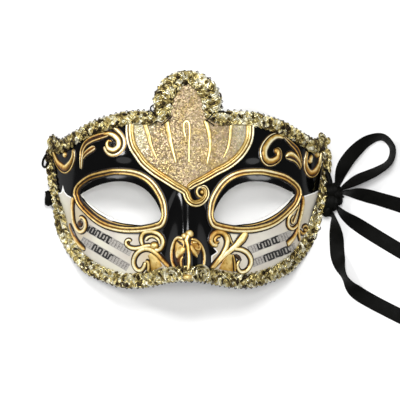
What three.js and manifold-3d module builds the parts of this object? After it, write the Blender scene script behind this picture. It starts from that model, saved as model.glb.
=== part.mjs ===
import * as THREE from 'three';
import { mergeVertices } from 'three/addons/utils/BufferGeometryUtils.js';
import Module from 'manifold-3d';

const wasm = await Module();
wasm.setup();

// Sizes in millimetres. The mask lies face up: X across, Y up the face, Z out of the face, floor at zero
const wall = 2.2;
const clearance = 0.4;
const sideHalf = 89;
const crownRadius = 19.8;
const crownY = 48.5;
const neck = [18.3, 40.9];
const dip = [81, 24.6];
const tip = [88.6, 27.5];
const sideFoot = -24;
const bottomY = -63.3;
const midY = -23;
const domeTop = 46;
const archHeight = 5.5;
const archWidth = 11;
const archY = -12;
const noseRise = 17;
const socketDepth = 2.6;
const eyeCentre = [43, -14];
const eyeOuter = [70, -10];
const eyeInner = [16.5, -24];
const ribbonWidth = 9.5;
const ribbonThick = 0.6;
const floorGap = 0.03;

// Plane curve helpers
const mix = (a, b, t) => a + (b - a) * t;
const mixPoint = (a, b, t) => a.map((v, i) => mix(v, b[i], t));
const clamp = (v, lo, hi) => Math.min(hi, Math.max(lo, v));
const bump = (v, centre, width) => Math.exp(-(((v - centre) / width) ** 2));
const smooth = (t) => {
  const s = clamp(t, 0, 1);
  return s * s * (3 - 2 * s);
};

function bezier(p, steps) {
  const out = [];
  for (let i = 0; i <= steps; i++) {
    const t = i / steps;
    const k = [(1 - t) ** 3, 3 * t * (1 - t) ** 2, 3 * t * t * (1 - t), t ** 3];
    out.push([0, 1].map((a) => k.reduce((sum, w, j) => sum + w * p[j][a], 0)));
  }
  return out;
}

// Smooth line through the given points, finer where they lie further apart
function through(points, step) {
  const out = [];
  const at = (i) => {
    if (i < 0) return points[0].map((v, a) => 2 * v - points[1][a]);
    if (i >= points.length) {
      return points[points.length - 1].map((v, a) => 2 * v - points[points.length - 2][a]);
    }
    return points[i];
  };
  for (let i = 0; i < points.length - 1; i++) {
    const [a, b, c, d] = [at(i - 1), at(i), at(i + 1), at(i + 2)];
    const parts = Math.max(1, Math.round(Math.hypot(...b.map((v, k) => c[k] - v)) / step));
    for (let j = 0; j < parts; j++) {
      const t = j / parts;
      out.push(b.map((v, k) => 0.5 * (2 * v + (c[k] - a[k]) * t
        + (2 * a[k] - 5 * v + 4 * c[k] - d[k]) * t * t + (3 * v - a[k] - 3 * c[k] + d[k]) * t ** 3)));
    }
  }
  out.push(points[points.length - 1]);
  return out;
}

function lengths(points) {
  const out = [0];
  for (let i = 1; i < points.length; i++) {
    out.push(out[i - 1] + Math.hypot(...points[i].map((v, a) => v - points[i - 1][a])));
  }
  return out;
}

// Point at a fraction of the length of a line
function along(points, fraction) {
  const run = lengths(points);
  const want = clamp(fraction, 0, 1) * run[run.length - 1];
  let i = 1;
  while (i < run.length - 1 && run[i] < want) i++;
  return mixPoint(points[i - 1], points[i], (want - run[i - 1]) / (run[i] - run[i - 1]));
}

// Outline of the right half
const sideX = (y) => sideHalf - 0.0024 * Math.max(0, 27 - y) ** 2;
const browLine = bezier([neck, [30, 45.3], [58, 42], dip], 24)
  .concat(bezier([dip, [84, 23.4], [86.6, 25], tip], 6).slice(1));
const cheekLine = bezier([[sideX(sideFoot), sideFoot], [79, -48.5], [58, -69.3], [33, -68.2]], 24);
const noseLine = bezier([[33, -68.2], [22, -67.4], [12, bottomY], [0, bottomY]], 10);
const bottomLine = cheekLine.concat(noseLine.slice(1)).reverse();
const crownPoint = (t) => {
  const angle = THREE.MathUtils.degToRad(mix(90, -22.6, t));
  return [crownRadius * Math.cos(angle), crownY + crownRadius * Math.sin(angle)];
};

// Eye opening and the middle line of its raised rim
const lidUpper = bezier([eyeOuter, [53, 2], [25, 5.5], eyeInner], 24).reverse();
const lidLower = bezier([eyeInner, [18, -33], [50, -33], eyeOuter], 24);
const rimLine = [[73.4, -9.6], [72.6, -6], [70, -2.6], [65, 1.2], [60, 3.3], [50, 5.7], [45, 6], [40, 5.8],
  [35, 5.1], [30, 3.4], [25, 0.3], [21, -3.8], [17.5, -9.2], [15.2, -14.6], [14.2, -20], [14.5, -25],
  [16.8, -28.8], [20, -30.4], [25, -31.6], [32, -32.6], [40, -32.6], [46, -31.7], [52, -30], [57, -27.8],
  [62, -24.6], [67, -20], [71, -15.2], [73.4, -9.6]];

// Distance of a closed line from the eye centre, by direction
function polar(points) {
  const list = points.map(([x, y]) => {
    const dx = x - eyeCentre[0];
    const dy = y - eyeCentre[1];
    return [Math.atan2(dy, dx), Math.hypot(dx, dy)];
  }).sort((a, b) => a[0] - b[0]);
  list.unshift([list[list.length - 1][0] - 2 * Math.PI, list[list.length - 1][1]]);
  list.push([list[1][0] + 2 * Math.PI, list[1][1]]);
  return (angle) => {
    let i = 1;
    while (i < list.length - 1 && list[i][0] < angle) i++;
    const span = list[i][0] - list[i - 1][0];
    return mix(list[i - 1][1], list[i][1], span > 1e-9 ? clamp((angle - list[i - 1][0]) / span, 0, 1) : 0);
  };
}
const openingAt = polar(lidUpper.slice(0, -1).concat(lidLower.slice().reverse().slice(0, -1)));
const rimAt = polar(through(rimLine, 2).slice(0, -1));

// Height of the front of the face above the floor
function face(x, y) {
  const ax = Math.abs(x);
  const edge = archHeight * bump(y, archY, archWidth);
  const top = domeTop - (y > 0 ? 0.0018 : 0.0012) * y * y;
  const t = Math.min(ax / sideX(y), 1.08);
  const flat = Math.sqrt(1 - 0.81);
  const round = (Math.sqrt(1 - 0.81 * t * t) - flat) / (1 - flat);
  let z = edge + (top - edge) * round;
  const noseWidth = clamp(9.5 - 0.12 * (y + 25), 7, 14);
  z += noseRise * smooth((8 - y) / 68) * Math.exp(-((ax / noseWidth) ** 2.4));
  z += 2.5 * bump(ax, 45, 22) * bump(y, 13, 10);
  z += 1.6 * bump(ax, 45, 18) * bump(y, -46, 11);
  const angle = Math.atan2(y - eyeCentre[1], ax - eyeCentre[0]);
  const opening = openingAt(angle);
  const gap = Math.max(0.5, rimAt(angle) - opening);
  const level = (Math.hypot(ax - eyeCentre[0], y - eyeCentre[1]) - opening) / gap;
  z -= Math.min(socketDepth, 0.6 * gap) * clamp(1 - level, 0, 1);
  return z;
}

function normal(x, y) {
  const h = 0.6;
  const v = [face(x - h, y) - face(x + h, y), face(x, y - h) - face(x, y + h), 2 * h];
  const size = Math.hypot(...v);
  return v.map((c) => c / size);
}
const add = (a, b, k = 1) => a.map((v, i) => v + k * b[i]);
const cross = (a, b) => [a[1] * b[2] - a[2] * b[1], a[2] * b[0] - a[0] * b[2], a[0] * b[1] - a[1] * b[0]];
const unit = (a) => {
  const size = Math.hypot(...a) || 1;
  return a.map((v) => v / size);
};
const onFace = ([x, y]) => [x, y, face(x, y)];
const underFace = (x, y, gap) => face(x, y) - (wall + gap) / normal(x, y)[2];

// Rows of plane points for one half: above the eye, the crown, and below the eye
function halfRows() {
  const columns = [];
  const addColumns = (count, low, high, last) => {
    for (let i = 0; i < count + (last ? 1 : 0); i++) columns.push([low(i / count), high(i / count)]);
  };
  const cut = 66;
  const cutAt = browLine.findIndex((p) => p[0] > cut);
  const browInner = browLine.slice(0, cutAt + 1);
  const browOuter = browLine.slice(cutAt);
  const side = [sideX(-8), -8];
  const upperRows = [0, 0.11, 0.25, 0.46, 0.68, 0.86, 1];
  addColumns(6, (t) => mixPoint([0, midY], eyeInner, t), (t) => mixPoint([0, 43], neck, t));
  addColumns(9, (t) => along(lidUpper, t), (t) => along(browInner, t));
  addColumns(4, (t) => mixPoint(eyeOuter, side, t), (t) => along(browOuter, t), true);
  const upper = upperRows.map((v) => fitSide(columns, v));
  columns.length = 0;
  const bottomTotal = lengths(bottomLine).at(-1);
  const marks = [20.6 / bottomTotal, 1 - 24 / bottomTotal];
  const lowerRows = [0, 0.1, 0.24, 0.5, 0.78, 1];
  addColumns(6, (t) => mixPoint([0, midY], eyeInner, t), (t) => along(bottomLine, marks[0] * t));
  addColumns(9, (t) => along(lidLower, t), (t) => along(bottomLine, mix(marks[0], marks[1], t)));
  addColumns(4, (t) => mixPoint(eyeOuter, side, t), (t) => along(bottomLine, mix(marks[1], 1, t)), true);
  const lower = lowerRows.map((v) => fitSide(columns, v));
  const crown = [0, 0.5, 1].map((v) => Array.from({ length: 7 }, (_, i) => (
    mixPoint(mixPoint([0, 43], neck, i / 6), crownPoint(i / 6), v))));
  return [[upper, 1], [crown, 1], [lower, -1]];
}

// One row across the columns; the last columns bend with the side of the outline
function fitSide(columns, v) {
  const [low, high] = columns[columns.length - 1];
  return columns.map(([a, b], i) => {
    const [x, y] = mixPoint(a, b, v);
    if (v === 0) return [x, y];
    const share = clamp((i - (columns.length - 5)) / 4, 0, 1);
    const straight = mix(low[0], high[0], clamp((y - low[1]) / (high[1] - low[1]), 0, 1));
    return [x + share * (sideX(y) - straight), y];
  });
}

// Triangles of the front, with the points shared along every seam
function frontSheet() {
  const keys = new Map();
  const points = [];
  const triangles = [];
  const vertex = ([x, y]) => {
    const key = `${Math.round(x * 200)},${Math.round(y * 200)}`;
    if (!keys.has(key)) {
      keys.set(key, points.length);
      points.push([x, y]);
    }
    return keys.get(key);
  };
  for (const mirror of [1, -1]) {
    for (const [rows, turn] of halfRows()) {
      for (let r = 0; r < rows.length - 1; r++) {
        for (let c = 0; c < rows[r].length - 1; c++) {
          const q = [rows[r][c], rows[r][c + 1], rows[r + 1][c + 1], rows[r + 1][c]]
            .map(([x, y]) => vertex([x * mirror, y]));
          const even = (r + c) % 2 === 0;
          const pair = even ? [[q[0], q[1], q[2]], [q[0], q[2], q[3]]] : [[q[0], q[1], q[3]], [q[1], q[2], q[3]]];
          for (const t of pair) {
            if (new Set(t).size < 3) continue;
            triangles.push(turn * mirror > 0 ? t : t.slice().reverse());
          }
        }
      }
    }
  }
  return { points, triangles };
}

function solidFrom(positions, triangles) {
  const geometry = new THREE.BufferGeometry();
  geometry.setAttribute('position', new THREE.Float32BufferAttribute(positions.flat(), 3));
  geometry.setIndex(triangles.flat());
  return solidOf(geometry);
}

function solidOf(geometry) {
  geometry.deleteAttribute('normal');
  geometry.deleteAttribute('uv');
  const merged = mergeVertices(geometry, 1e-4);
  return new wasm.Manifold(new wasm.Mesh({
    numProp: 3,
    vertProperties: new Float32Array(merged.attributes.position.array),
    triVerts: new Uint32Array(merged.index.array),
  }));
}

// The thin face, fattened all round by the given amount
const sheet = frontSheet();
function shell(grow) {
  const { points, triangles } = sheet;
  const normals = points.map(([x, y]) => normal(x, y));
  const count = points.length;
  const used = new Set(triangles.flatMap(([a, b, c]) => [`${a}-${b}`, `${b}-${c}`, `${c}-${a}`]));
  const edges = [...used].map((s) => s.split('-').map(Number)).filter(([a, b]) => !used.has(`${b}-${a}`));
  const shift = points.map(() => [0, 0, 0]);
  for (const [a, b] of edges) {
    const out = unit(cross(unit(add(onFace(points[b]), onFace(points[a]), -1)), normals[a]));
    shift[a] = add(shift[a], out);
    shift[b] = add(shift[b], out);
  }
  const front = points.map((p, i) => add(add(onFace(p), normals[i], grow), unit(shift[i]), grow));
  const back = points.map((p, i) => add(add(onFace(p), normals[i], -wall - grow), unit(shift[i]), grow));
  const all = triangles.concat(triangles.map(([a, b, c]) => [a + count, c + count, b + count]));
  for (const [a, b] of edges) {
    all.push([b, a, a + count], [b, a + count, b + count]);
  }
  return solidFrom(front.concat(back), all);
}

// Raised line on the face: one wedge-topped bar after another, joined
function ridge({ rise, widths, line }) {
  const path = through(line, 7.5);
  const run = lengths(path);
  const rings = path.map((p, i) => {
    const before = path[Math.max(0, i - 1)];
    const after = path[Math.min(path.length - 1, i + 1)];
    const n = normal(...p);
    const across = unit(cross(n, unit([after[0] - before[0], after[1] - before[1], 0])));
    const place = (run[i] / run.at(-1)) * (widths.length - 1);
    const k = Math.min(widths.length - 2, Math.floor(place));
    const w = mix(widths[k], widths[k + 1], place - k);
    const h = rise * clamp(w / 2.4, 0.45, 1);
    return [[-0.5, -1.2], [-0.26, h], [0.26, h], [0.5, -1.2]]
      .map(([b, up]) => add(add(onFace(p), across, b * w), n, up));
  });
  return rings.slice(1).map((ring, i) => wasm.Manifold.hull(rings[i].concat(ring)));
}

function knob(x, y, radius, rise) {
  const n = normal(x, y);
  const ball = new THREE.SphereGeometry(1, 7, 4).scale(radius, radius, rise);
  ball.applyQuaternion(new THREE.Quaternion().setFromUnitVectors(new THREE.Vector3(0, 0, 1), new THREE.Vector3(...n)));
  ball.translate(x, y, face(x, y));
  return solidOf(ball);
}

// Scrollwork: rise, widths from start to end, and the middle line
const scrolls = [
  // Left brow
  { rise: 1.5, widths: [4, 5, 4.6, 4, 3.4, 2.4], line: [[-51.5, 34.5], [-46.8, 31.2], [-43.2, 27.5], [-42.4, 23.3],
    [-44, 19.4], [-47.5, 17.6], [-51, 19.3], [-52.2, 22.9], [-50.6, 25.6]] },
  { rise: 1.4, widths: [1.4, 2.8, 3.6, 4.2, 4], line: [[-69.2, 7], [-68.9, 13.5], [-68.3, 19], [-66, 23.4],
    [-61.8, 26.3], [-57, 28], [-52, 28.8]] },
  { rise: 1.4, widths: [2, 3.4, 3.6], line: [[-68, 14.5], [-66, 17.4], [-63, 19.5], [-60.4, 20.6]] },
  { rise: 1.5, widths: [2, 4, 5.8, 5.6, 3, 1.8], line: [[-88, 19.5], [-86.3, 14.5], [-84.3, 10.4], [-80.2, 7],
    [-77.6, 8.4], [-75.4, 12], [-74.3, 16], [-74.4, 20]] },
  // Right brow
  { rise: 1.5, widths: [2.5, 5, 5.4, 5.2, 4.6, 3], line: [[62.5, 27.3], [58, 28.4], [54.2, 26.6], [51, 22.8],
    [49.2, 18.4], [49.8, 13.8], [52.4, 11.4], [55.6, 11.7], [58.8, 14.2], [59.4, 18], [57.4, 20.2]] },
  { rise: 1.5, widths: [4.6, 6.4, 4.4, 3, 0.9], line: [[63.6, 15], [66.6, 15.8], [70, 13.8], [72.2, 10.6], [73.4, 6.9]] },
  { rise: 1.3, widths: [1.2, 3, 3.4, 2.6, 1.1], line: [[62.6, 28], [67.3, 23.3], [70.9, 19.5], [73, 14.4], [73.9, 8]] },
  { rise: 1.5, widths: [1.8, 3, 4.8, 5, 3.2, 2], line: [[77.8, 18.5], [76.7, 13], [77, 8.2], [78.6, 5], [80.6, 3.7],
    [83, 4.8], [85.1, 8.4], [86.4, 13], [87, 18.5]] },
  // Border of the fan and its small curl
  { rise: 1.5, widths: [4.2, 4.2, 4.2, 4, 3.6, 2.4], line: [[-37.8, 38], [-37.9, 30], [-36.2, 21.7], [-32.7, 15.8],
    [-29, 10.6], [-23.8, 6], [-18.9, 2.5], [-13.9, -0.7], [-9, -3.9], [-4.7, -6.4], [-1.3, -8.8], [-0.5, -11.8],
    [1, -14.5], [3.8, -16.4], [7.2, -16.2], [10.2, -14], [12, -10.8], [12, -7.6], [9.8, -5.9]] },
  { rise: 1.5, widths: [4, 4, 4, 3.6], line: [[41.3, 38], [41, 28.5], [39, 22], [35, 15.8], [30, 11.1], [25, 7.7],
    [19, 4.6], [14, 1.6], [9, -1.1], [4, -3.6], [0.6, -6.4]] },
  // Ribs of the fan
  { rise: 1, widths: [2.4, 2.2, 1.2], line: [[-25.4, 36], [-24, 28], [-22.3, 21.5], [-20, 15.5]] },
  { rise: 1, widths: [2.8, 2.4, 1.2], line: [[-13, 38], [-12, 30], [-10.6, 23], [-7.8, 12]] },
  { rise: 1, widths: [3.4, 2.4, 1.4], line: [[-1, 37.5], [0.3, 28], [1, 20], [1, 12.5]] },
  { rise: 1, widths: [2.6, 2.6, 1.2], line: [[11.8, 38], [14.2, 29], [14.4, 20], [12.8, 11]] },
  { rise: 1, widths: [2.4, 2.2, 1.2], line: [[28.3, 36], [27.5, 27], [26.1, 20.5], [23.7, 13.5]] },
  // Outer cheek, left
  { rise: 1.4, widths: [2.2, 2.4, 2.6, 2.4], line: [[-74.3, -11], [-74.6, -19], [-74, -26], [-72.4, -31.5], [-71, -34.5]] },
  { rise: 1.3, widths: [1.6, 2.4, 2.6, 2.4], line: [[-70.6, -18.6], [-68.4, -23], [-67.1, -27], [-67.3, -31],
    [-69.4, -33.2]] },
  { rise: 1.3, widths: [1.8, 3.2, 4, 3.6, 1.2], line: [[-76.4, -28.4], [-74.8, -32], [-72.8, -36.5], [-70.6, -40.4],
    [-67.4, -44]] },
  // Outer cheek, right
  { rise: 1.4, widths: [2.4, 4.4, 4.4, 3], line: [[74.6, -10.6], [74.9, -18], [74.2, -25], [72.6, -32.6]] },
  { rise: 1.3, widths: [1.6, 2.4, 2.4, 2.2], line: [[70.7, -18.6], [67.7, -22.9], [65.7, -27.5], [66.1, -31],
    [68.6, -32.6], [70.8, -31]] },
  { rise: 1.3, widths: [2.4, 4, 2], line: [[71.6, -33.6], [68.6, -37.6], [65, -41.8]] },
  { rise: 1.3, widths: [2.4, 2.4], line: [[72.6, -33], [73, -37], [74, -41]] },
  { rise: 1.2, widths: [2, 2, 1.8], line: [[74.2, -36.6], [76.8, -35.2], [77.8, -32.9], [76.6, -31]] },
  // Inner cheek, left
  { rise: 1.4, widths: [2.8, 2.8, 2.6, 2.6], line: [[-37.6, -40], [-38.8, -42.4], [-36.6, -44.2], [-33, -44.8],
    [-28.4, -43.6], [-24, -43.4]] },
  { rise: 1.5, widths: [2.6, 3.2, 3.4, 3.2, 3], line: [[-29.4, -43], [-29.4, -38], [-27, -35.2], [-22.5, -34.6],
    [-18.2, -36.3], [-16.2, -40], [-17, -44], [-20, -45.4]] },
  { rise: 1.5, widths: [3.6, 3.4, 3, 3, 2.8], line: [[-12.5, -56], [-17, -51.4], [-21.3, -47.3], [-25.8, -45.5],
    [-30.2, -46.8], [-33.4, -50.4], [-34.4, -55], [-32.2, -58.6], [-29.2, -57.6]] },
  // Inner cheek, right
  { rise: 1.5, widths: [3.4, 3.2, 3.2, 2.6, 2.4, 2.2], line: [[17.6, -42.3], [15.7, -39], [16.7, -35.8], [20.3, -34.2],
    [24.2, -36], [26.2, -40], [25.3, -45], [21.6, -50.6], [16.5, -57]] },
  { rise: 1.4, widths: [6, 3.6, 3.6, 3, 2.2], line: [[36.6, -36.6], [33.6, -39.8], [31, -43.6], [24, -50.4], [17, -58.4]] },
  { rise: 1.4, widths: [2.8, 2.8, 2.8, 2.6], line: [[30.6, -45], [35.4, -45.8], [39.3, -48.9], [41, -53.6], [40, -58],
    [36.4, -60.8]] },
  // Ornament on the nose
  { rise: 1.4, widths: [2, 2.4, 2.4], line: [[-2.6, -36.6], [-6, -37.8], [-8.2, -40.8], [-9.3, -45.4], [-9.5, -50.4],
    [-8.6, -55]] },
  { rise: 1.4, widths: [2, 2.4, 2.4], line: [[2.4, -37.4], [5.2, -39.6], [7.9, -42.2], [9.4, -46.2], [9.8, -50.4],
    [9.3, -55]] },
  { rise: 1.6, widths: [2.6, 2.6, 2.6], line: [[0.1, -38], [0.4, -44], [0.8, -50], [0.6, -57]] },
  { rise: 1.4, widths: [2.4, 4, 1.2], line: [[-1.8, -44.8], [-4.4, -46.6], [-6, -49.8]] },
  { rise: 1.4, widths: [2.4, 3.4, 1.2], line: [[2, -42.4], [4.8, -44.6], [6.6, -49.4]] },
];
const knobs = [[-79.9, 16, 1.4, 1.5], [79.6, 12.6, 1.3, 1.5], [84, 16.2, 1.5, 1.5], [-70.2, -28.6, 1.4, 1.3],
  [-21.8, -42.4, 2.3, 1.7], [0.6, -36, 2.6, 2.2], [9.4, -8.2, 1.6, 1.7]];

// Closed band over the area inside the braid, so that the raised lines stop short of it
function insideBraid(inset) {
  const half = edgeRuns().flat();
  const loop = half.map(([x, y]) => [x, y]).concat(half.slice().reverse().map(([x, y]) => [-x, y]));
  const shape = new wasm.CrossSection([loop.slice().reverse()]).offset(-inset, 'Round', 2, 16);
  return shape.extrude(90);
}

// Right half of the edge, crown to bottom, in runs parted at the two corners
function edgeRuns() {
  const crown = Array.from({ length: 9 }, (_, i) => crownPoint(i / 8));
  const brow = [0, 0.14, 0.28, 0.42, 0.56, 0.7, 0.83, 0.91, 1].map((t) => along(browLine, t));
  const side = [27.5, 14, 0, -7, -13, -18, sideFoot].map((y) => [sideX(y), y]);
  const low = Array.from({ length: 12 }, (_, i) => along(bottomLine, 1 - (i + 1) / 12));
  return [crown, brow, side.concat(low)];
}

// The braid wraps over the edge; outward first, then off the face
const braidSection = [[-7, -0.6], [-5.8, 2.4], [-2.4, 3.2], [1, 2.4], [1.8, -1]];
function braid(grow) {
  const profile = braidSection.map(([b, n]) => {
    const size = Math.hypot(b + 2.5, n - 1);
    return [b + (b + 2.5) / size * grow, n + (n - 1) / size * grow];
  });
  const ringAt = (p, before, after) => {
    const n = normal(...p);
    const out = unit(cross(unit(add(onFace(after), onFace(before), -1)), n));
    return profile.map(([b, up]) => add(add(onFace(p), out, b), n, up));
  };
  const pieces = [];
  for (const mirror of [1, -1]) {
    const ends = [];
    for (const run of edgeRuns()) {
      const path = run.map(([x, y]) => [x * mirror, y]);
      const rings = path.map((p, i) => {
        let before = path[Math.max(0, i - 1)];
        let after = path[Math.min(path.length - 1, i + 1)];
        if (p[0] === 0 || Math.abs(p[0]) < 1e-6) {
          before = i === 0 ? [-path[1][0], path[1][1]] : before;
          after = i === path.length - 1 ? [-path[i - 1][0], path[i - 1][1]] : after;
        }
        return mirror > 0 ? ringAt(p, after, before) : ringAt(p, before, after);
      });
      for (let i = 1; i < rings.length; i++) pieces.push(wasm.Manifold.hull(rings[i - 1].concat(rings[i])));
      ends.push([rings[0], rings[rings.length - 1]]);
    }
    pieces.push(wasm.Manifold.hull(ends[1][1].concat(ends[2][0])));
  }
  return wasm.Manifold.union(pieces);
}

// Flat ribbon along points of x, y, height and tilt of its width in degrees
function ribbon(stations, grow = 0) {
  const path = through(stations, 20);
  const rings = path.map((p, i) => {
    const before = path[Math.max(0, i - 1)];
    const after = path[Math.min(path.length - 1, i + 1)];
    const t = unit(add(after.slice(0, 3), before.slice(0, 3), -1));
    const level = unit(cross([0, 0, 1], t));
    const tilt = THREE.MathUtils.degToRad(p[3]);
    const across = unit(add(level.map((v) => v * Math.cos(tilt)), unit(cross(t, level)), Math.sin(tilt)));
    const thick = unit(cross(t, across));
    const lowest = (ribbonWidth * Math.abs(across[2]) + ribbonThick * Math.abs(thick[2])) / 2 + floorGap;
    const past = i === 0 ? -grow : i === path.length - 1 ? grow : 0;
    const centre = add([p[0], p[1], Math.max(p[2], lowest)], t, past);
    return [[-0.5, -0.5], [0.5, -0.5], [0.5, 0.5], [-0.5, 0.5]]
      .map(([a, b]) => add(add(centre, across, a * (ribbonWidth + 2 * grow)), thick, b * (ribbonThick + 2 * grow)));
  });
  const triangles = [[0, 2, 1], [0, 3, 2]];
  for (let i = 0; i < rings.length - 1; i++) {
    for (let k = 0; k < 4; k++) {
      const [a, b] = [i * 4 + k, i * 4 + (k + 1) % 4];
      triangles.push([a, b, b + 4], [a, b + 4, a + 4]);
    }
  }
  const last = (rings.length - 1) * 4;
  triangles.push([last, last + 1, last + 2], [last, last + 2, last + 3]);
  const solid = solidFrom(rings.flat(), triangles);
  return solid.volume() > 0 ? solid : solidFrom(rings.flat(), triangles.map((t) => t.slice().reverse()));
}

function lump(x, y, z, rx, ry, rz, turn) {
  const ball = new THREE.SphereGeometry(1, 9, 6).rotateX(Math.PI / 2).scale(rx, ry, rz);
  ball.rotateZ(THREE.MathUtils.degToRad(turn)).translate(x, y, z);
  return solidOf(ball);
}

const aboveFloor = (solid) => solid.trimByPlane([0, 0, 1], floorGap);
const rest = (solid) => solid.trimByPlane([0, 0, 1], 0);
const whole = (solid) => solid.decompose().sort((a, b) => b.volume() - a.volume())[0];

// The face with its relief
const lines = scrolls.flatMap(ridge)
  .concat(ridge({ rise: 1.5, widths: [3.4, 3.4, 3.4, 3.4], line: rimLine }))
  .concat(ridge({ rise: 1.5, widths: [3.4, 3.4, 3.4, 3.4], line: rimLine.map(([x, y]) => [-x, y]) }))
  .concat(knobs.map((k) => knob(...k)));
const edgeRoom = braid(clearance);
const relief = wasm.Manifold.union(lines).intersect(insideBraid(5)).subtract(edgeRoom);
const mask = whole(rest(shell(0).add(relief)).simplify(0.15));
const corners = [-1, 1].map((side) => wasm.Manifold.cylinder(20, 1.1, 1.1, 10).translate([side * neck[0], neck[1], 28]));
const edge = whole(corners.reduce((solid, post) => solid.subtract(post), rest(braid(0)).subtract(shell(clearance)))
  .simplify(0.15));

// The ties. Heights follow the floor, the inside of the mask and the knots
const inside = (x) => Math.min(...[-5, 0, 5].map((d) => underFace(x, archY + d, 1.4)));
const anchorPath = (side) => [75.4, 78.4, 80.8].map((x) => [x * side, archY, inside(x), 0])
  .concat([[84, archY, 1.4], [88.8, archY, 1.3]].map(([x, y, z]) => [x * side, y, z, 0]));
const onFloor = ribbonThick / 2 + floorGap;
const leftRun = [[-89, -13], [-84.5, -10.4], [-78.6, -2], [-70, 9], [-52, 17.4], [0, 19.4],
  [52, 17.4], [69, 9.4], [77, -1], [83.6, -10.4], [90.6, -19], [96.2, -27], [98.2, -38.5],
  [99, -50]].map(([x, y]) => [x, y, onFloor, 0])
  .concat([[101.4, -60.5, 4.1, 48], [104.6, -66.6, 4.2, 50], [110.4, -73.4, 1.9, 15], [121, -80, onFloor, 0],
    [139.3, -89.4, onFloor, 0], [153, -95.6, onFloor, 0], [168, -99, onFloor, 0]]);
const upperTail = [[100.4, -7.8, 4.4, 20], [108.6, -8.8, 3.4, 24], [117.2, -10.4, 2.7, 24], [128, -13.4, 2.4, 20],
  [139.3, -16.8, 1.6, 12], [152, -21.6, onFloor, 0], [166, -28, onFloor, 0]];
const middleTail = [[99.2, -19, 3.8, 12], [105, -25, 2.4, 8], [117.3, -33.3, onFloor, 0], [139.3, -46.6, onFloor, 0],
  [153, -53.8, onFloor, 0], [167, -60, onFloor, 0]];
const loop = [[99, -1.6, 5.6, 10], [100.9, 7.6, 6.4, 12], [107.9, 17.4, 6.6, 18], [117.7, 25.6, 6.2, 40],
  [127.4, 28, 5.6, 72], [133.9, 21.4, 5.4, 84], [131.4, 11.4, 5.4, 66], [122.6, 4.4, 5.4, 40], [110.6, -1.8, 6.6, 22],
  [103.4, -5, 8, 14]];
const rightKnot = wasm.Manifold.union([
  lump(93.8, -6.4, 4.5, 4.6, 7.4, 4.5, 8), lump(94, -15, 4, 4.6, 6.6, 4.2, -10),
]);
const leftKnot = lump(-91.2, -12.2, 3.6, 2.7, 5.4, 3.6, 0);

const colours = { black: 0x14110f, lacquer: 0x1a1817, gold: 0xb9a45c };
const looks = {
  mask_shell: new THREE.MeshStandardMaterial({ color: colours.lacquer, roughness: 0.25 }),
  edge_braid: new THREE.MeshStandardMaterial({ color: colours.gold, metalness: 0.7, roughness: 0.4 }),
  tie: new THREE.MeshStandardMaterial({ color: colours.black, roughness: 0.5 }),
};
const part = new THREE.Group();
function place(name, solid, look) {
  const mesh = solid.getMesh();
  const geometry = new THREE.BufferGeometry();
  geometry.setAttribute('position', new THREE.Float32BufferAttribute(mesh.vertProperties, 3));
  geometry.setIndex(new THREE.Uint32BufferAttribute(mesh.triVerts, 1));
  geometry.computeVertexNormals();
  const node = new THREE.Mesh(geometry, look);
  node.name = name;
  part.add(node);
}
const anchorRight = ribbon(anchorPath(1));
const anchorLeft = ribbon(anchorPath(-1));
const run = ribbon(leftRun);
const free = (knot, paths) => whole(paths.reduce((k, path) => k.subtract(ribbon(path, clearance)),
  aboveFloor(knot).subtract(edgeRoom)));
const knotRight = free(rightKnot, [anchorPath(1), loop, upperTail, middleTail, leftRun]);
const knotLeft = free(leftKnot, [anchorPath(-1), leftRun]);
place('mask_shell', mask, looks.mask_shell);
place('edge_braid', edge, looks.edge_braid);
place('right_tie_anchor', anchorRight, looks.tie);
place('right_tie_knot', knotRight, looks.tie);
place('right_tie_loop', ribbon(loop), looks.tie);
place('right_tie_upper_tail', ribbon(upperTail), looks.tie);
place('right_tie_middle_tail', ribbon(middleTail), looks.tie);
place('left_tie_anchor', anchorLeft, looks.tie);
place('left_tie_knot', knotLeft, looks.tie);
place('left_tie_run', run, looks.tie);

export default part;
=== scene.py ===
import math
import bpy
import numpy as np
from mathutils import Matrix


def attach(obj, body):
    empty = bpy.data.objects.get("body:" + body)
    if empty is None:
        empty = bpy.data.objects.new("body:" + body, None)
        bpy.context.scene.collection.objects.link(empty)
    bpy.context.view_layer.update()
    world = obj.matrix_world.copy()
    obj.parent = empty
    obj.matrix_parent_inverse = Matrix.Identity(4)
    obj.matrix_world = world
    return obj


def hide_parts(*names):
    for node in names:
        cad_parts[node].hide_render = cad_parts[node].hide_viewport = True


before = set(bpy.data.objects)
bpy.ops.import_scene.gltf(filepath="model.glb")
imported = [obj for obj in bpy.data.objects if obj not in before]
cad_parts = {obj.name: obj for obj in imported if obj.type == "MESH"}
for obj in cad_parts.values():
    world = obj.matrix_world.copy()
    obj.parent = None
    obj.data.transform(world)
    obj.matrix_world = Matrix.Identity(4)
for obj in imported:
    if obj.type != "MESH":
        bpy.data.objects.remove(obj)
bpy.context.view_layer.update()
scene = bpy.context.scene
mm = 0.001  # all shapes below are worked out in millimetres
print("frame loaded:", len(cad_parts), "nodes")

# Camera: straight down from far off; up in the picture is up the face
shot = {"x": 8.125, "y": -13.325, "height": 4000, "fieldWide": 260, "sharpHeight": 35, "sensor": 36,
        "farthest": 20}
cameraData = bpy.data.cameras.new("camera")
cameraData.sensor_width = shot["sensor"]
cameraData.lens = shot["sensor"] * (shot["height"] - shot["sharpHeight"]) / shot["fieldWide"]
cameraData.clip_end = shot["farthest"]
camera = bpy.data.objects.new("camera", cameraData)
camera.location = (shot["x"] * mm, shot["y"] * mm, shot["height"] * mm)
scene.collection.objects.link(camera)
scene.camera = camera


# Lines and numbers

def bump(v, centre, width):  # bell curve
    return np.exp(-((v - centre) / width) ** 2)


def ease(t):  # smooth step from 0 to 1
    t = np.clip(t, 0, 1)
    return t * t * (3 - 2 * t)


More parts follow.
